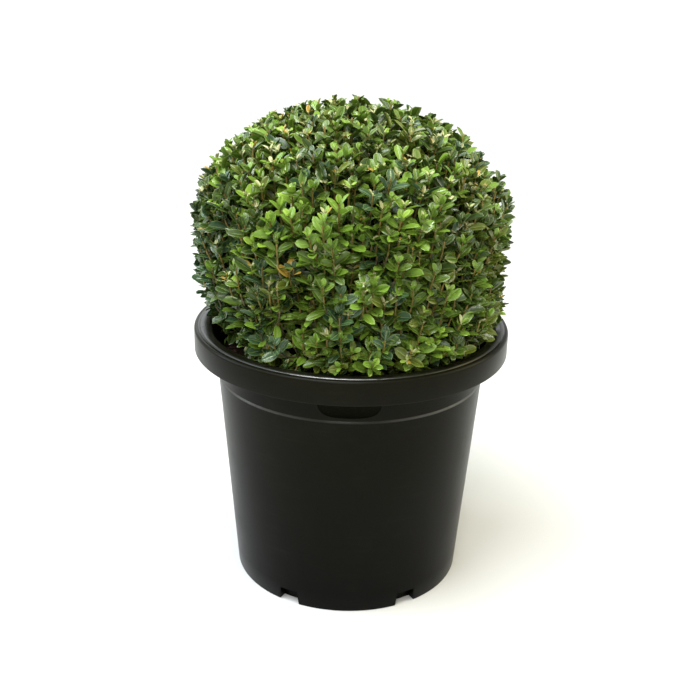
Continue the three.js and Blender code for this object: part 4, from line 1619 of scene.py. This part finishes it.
# %% Leaf growth
YOUNG_PAIRS = 2
AMBER_PAIRS = 2
TIP_TINTS = {"mid": "light", "olive": "light", "light": "fresh"}
CLIPPED_SHARE = 0.6
CLIPPED_TOP_SHARE = 0.85
CUT_BACK = (2, 6)  # millimetres of a shoot that the shears took off
CUT_LEAVES = 0.6
CUT_LEVEL = 1.02
STALK = 0.7  # millimetres
FACING_FROM = 390 * MM
FACING_SPAN = 70 * MM
FACING_LOSS = 0.8
DROOP = 0.5
DROOP_BELOW = 312 * MM
DROOP_SPAN = 40 * MM
CLOSER = 2
LEAST_SIDE = 0.1
SLIMMEST = 0.2
VIGOURS = (0.86, 1.12)
GAPS = (0.85, 1.15)
SPREADS = (0.75, 1.25)
FACINGS = (-0.3, 0.7)
ROLLS = (-0.5, 0.5)
LENGTHS = (0.88, 1.12)
WIDTHS = (0.85, 1.15)
PAIR_TURNS = (-0.3, 0.3)

draw = seeded(LEAF_SEED)
clipped_shoots = []
never_clipped = long_shoots | fresh_shoots | amber_shoots
for index, (points, direction) in enumerate(zip(fine_lines, fine_directions)):
    tip = points[-1]
    tint = tint_of(index, tip, draw())
    turn = 2 * math.pi * draw()
    vigour = between(draw, *VIGOURS)
    towards = 1 - FACING_LOSS * ramp(tip.z - FACING_FROM, FACING_SPAN)
    droop = DROOP * ramp(DROOP_BELOW - tip.z, DROOP_SPAN)
    share = CLIPPED_TOP_SHARE if tip.z > MIDDLE_TOP else CLIPPED_SHARE
    clipped = draw() < share and index not in never_clipped
    distance = 0
    if clipped:
        clipped_shoots.append(index)
        distance = -between(draw, *CUT_BACK) * MM
    first = YOUNG_PAIRS if clipped else int(tint == "amber")
    for place, (gap, grown, spread) in enumerate(pairs[first:]):
        if tint == "amber" and place == AMBER_PAIRS:
            tint = "olive"
        distance += gap * between(draw, *GAPS) * MM
        spot = reach_back(points, distance)
        if spot is None:
            break
        node, axis = spot
        side = axis.cross(UP)
        if side.length < LEAST_SIDE:
            side = Vector((1, 0, 0))
        side.normalize()
        side.rotate(Matrix.Rotation(turn, 3, axis))
        leaf_tint = TIP_TINTS.get(tint, tint) if place == 0 and not clipped else tint
        for way in (1, -1):
            angle = math.radians(spread * between(draw, *SPREADS))
            along = axis * math.cos(angle) + side * way * math.sin(angle)
            along = (along - UP * droop * draw()).normalized()
            facing = axis + direction * towards * between(draw, *FACINGS)
            facing.rotate(Matrix.Rotation(between(draw, *ROLLS), 3, along))
            length = LEAF_LENGTH * grown * vigour * between(draw, *LENGTHS)
            width = LEAF_WIDTH * (SLIMMEST + (1 - SLIMMEST) * grown) * vigour * between(draw, *WIDTHS)
            kind = int(draw() * CUT_KIND)  # one of the uncut shapes
            if clipped and draw() < CUT_LEAVES and clip_level(node + along * length) > CUT_LEVEL:
                kind = CUT_KIND
            root = node + along * STALK * MM
            if not add_leaf(leaf_tint, kind, root, along, facing, length, width):
                closer = (along + axis * CLOSER).normalized()
                add_leaf(leaf_tint, kind, root, closer, axis - side * way, length, width)
        turn += math.pi / 2 + between(draw, *PAIR_TURNS)
total = sum(len(blocks) for blocks in copies.values())
print(total, "leaves:", {key: len(blocks) for key, blocks in sorted(copies.items())})

# %% [markdown]
# ### Clipped ends
# Where the shears cut through a shoot, its end dries to a pale stub with torn scraps of young
# leaf round it. These are the creamy flecks all over the clipped surface.

# %% Stubs and scraps
STUB_TONES = ((0.30, 0.27, 0.10), (0.60, 0.59, 0.33))
STUB_WIDTHS = (1.6, 2.2)  # millimetres, as the next
STUB_HEIGHTS = (1.6, 2.8)
STUB_LIFT = 0.4
SCRAP_TINTS = (("amber", 0.12), ("cream", 0.72), ("fresh", 1))
SCRAPS = (2.5, 6.9)
SCRAP_TURN = 1.9
SCRAP_SPREADS = (0.5, 1.5)
SCRAP_LENGTHS = (4, 9.5)  # millimetres
SCRAP_FACING = 0.3
SCRAP_WIDTH = 0.4
bm = bmesh.new()
bmesh.ops.create_cone(bm, cap_ends=True, segments=5, radius1=0.5, radius2=0.36, depth=1)
stub = Pattern(bm, 50)
stub_finish = mottled("dried_shoot_ends", 2 * MM, 2, *STUB_TONES, roughness=0.8)
stubs = []
for index in clipped_shoots:
    end = fine_lines[index][-1]
    axis = (end - fine_lines[index][-2]).normalized()
    across = axis.orthogonal().normalized()
    width = between(draw, *STUB_WIDTHS) * MM
    height = between(draw, *STUB_HEIGHTS) * MM
    place = end + axis * STUB_LIFT * height
    stubs.append((across * width, axis.cross(across) * width, axis * height, place))
    turn = 2 * math.pi * draw()
    for scrap in range(int(between(draw, *SCRAPS))):
        side = across.copy()
        side.rotate(Matrix.Rotation(turn + SCRAP_TURN * scrap, 3, axis))
        along = (axis + side * between(draw, *SCRAP_SPREADS)).normalized()
        length = between(draw, *SCRAP_LENGTHS) * MM
        tint = picked(SCRAP_TINTS, draw())
        kind = int(draw() * CUT_KIND)
        add_leaf(tint, kind, end, along, axis - side * SCRAP_FACING, length, length * SCRAP_WIDTH)
dressed(joined("clipped_shoot_ends", stub, stubs, stub_finish), "foliage")
print(len(stubs), "clipped ends")

# %% [markdown]
# ### The leaf pieces
# Every tint becomes one piece for each leaf shape, and each piece stays under 200,000 triangles.
# Together they stand for the solid crown, whose node is hidden here once for all of them.

# %% Leaf pieces
leaf_triangles = 0
finishes = {tint: leaf_finishes(tint) for tint in TINTS}
for (tint, kind), blocks in sorted(copies.items()):
    name = "leaves_" + tint + "_" + LEAF_SHAPES[kind]
    piece = dressed(joined(name, leaf_kinds[kind], blocks, *finishes[tint]), "foliage")
    leaf_triangles += len(piece.data.polygons)
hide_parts("clipped_crown")
print("the leaves have", leaf_triangles, "triangles")

# %% [markdown]
# ## The sizes
# The dressed model is to stay in the solid model's box, so both boxes are printed.

# %% Sizes and finish
dressed_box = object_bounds()
boxes = {"solid": solid_box, "dressed": dressed_box}
for name, (low, high) in boxes.items():
    print(name, [round(value / MM, 1) for value in (*low, *high)])
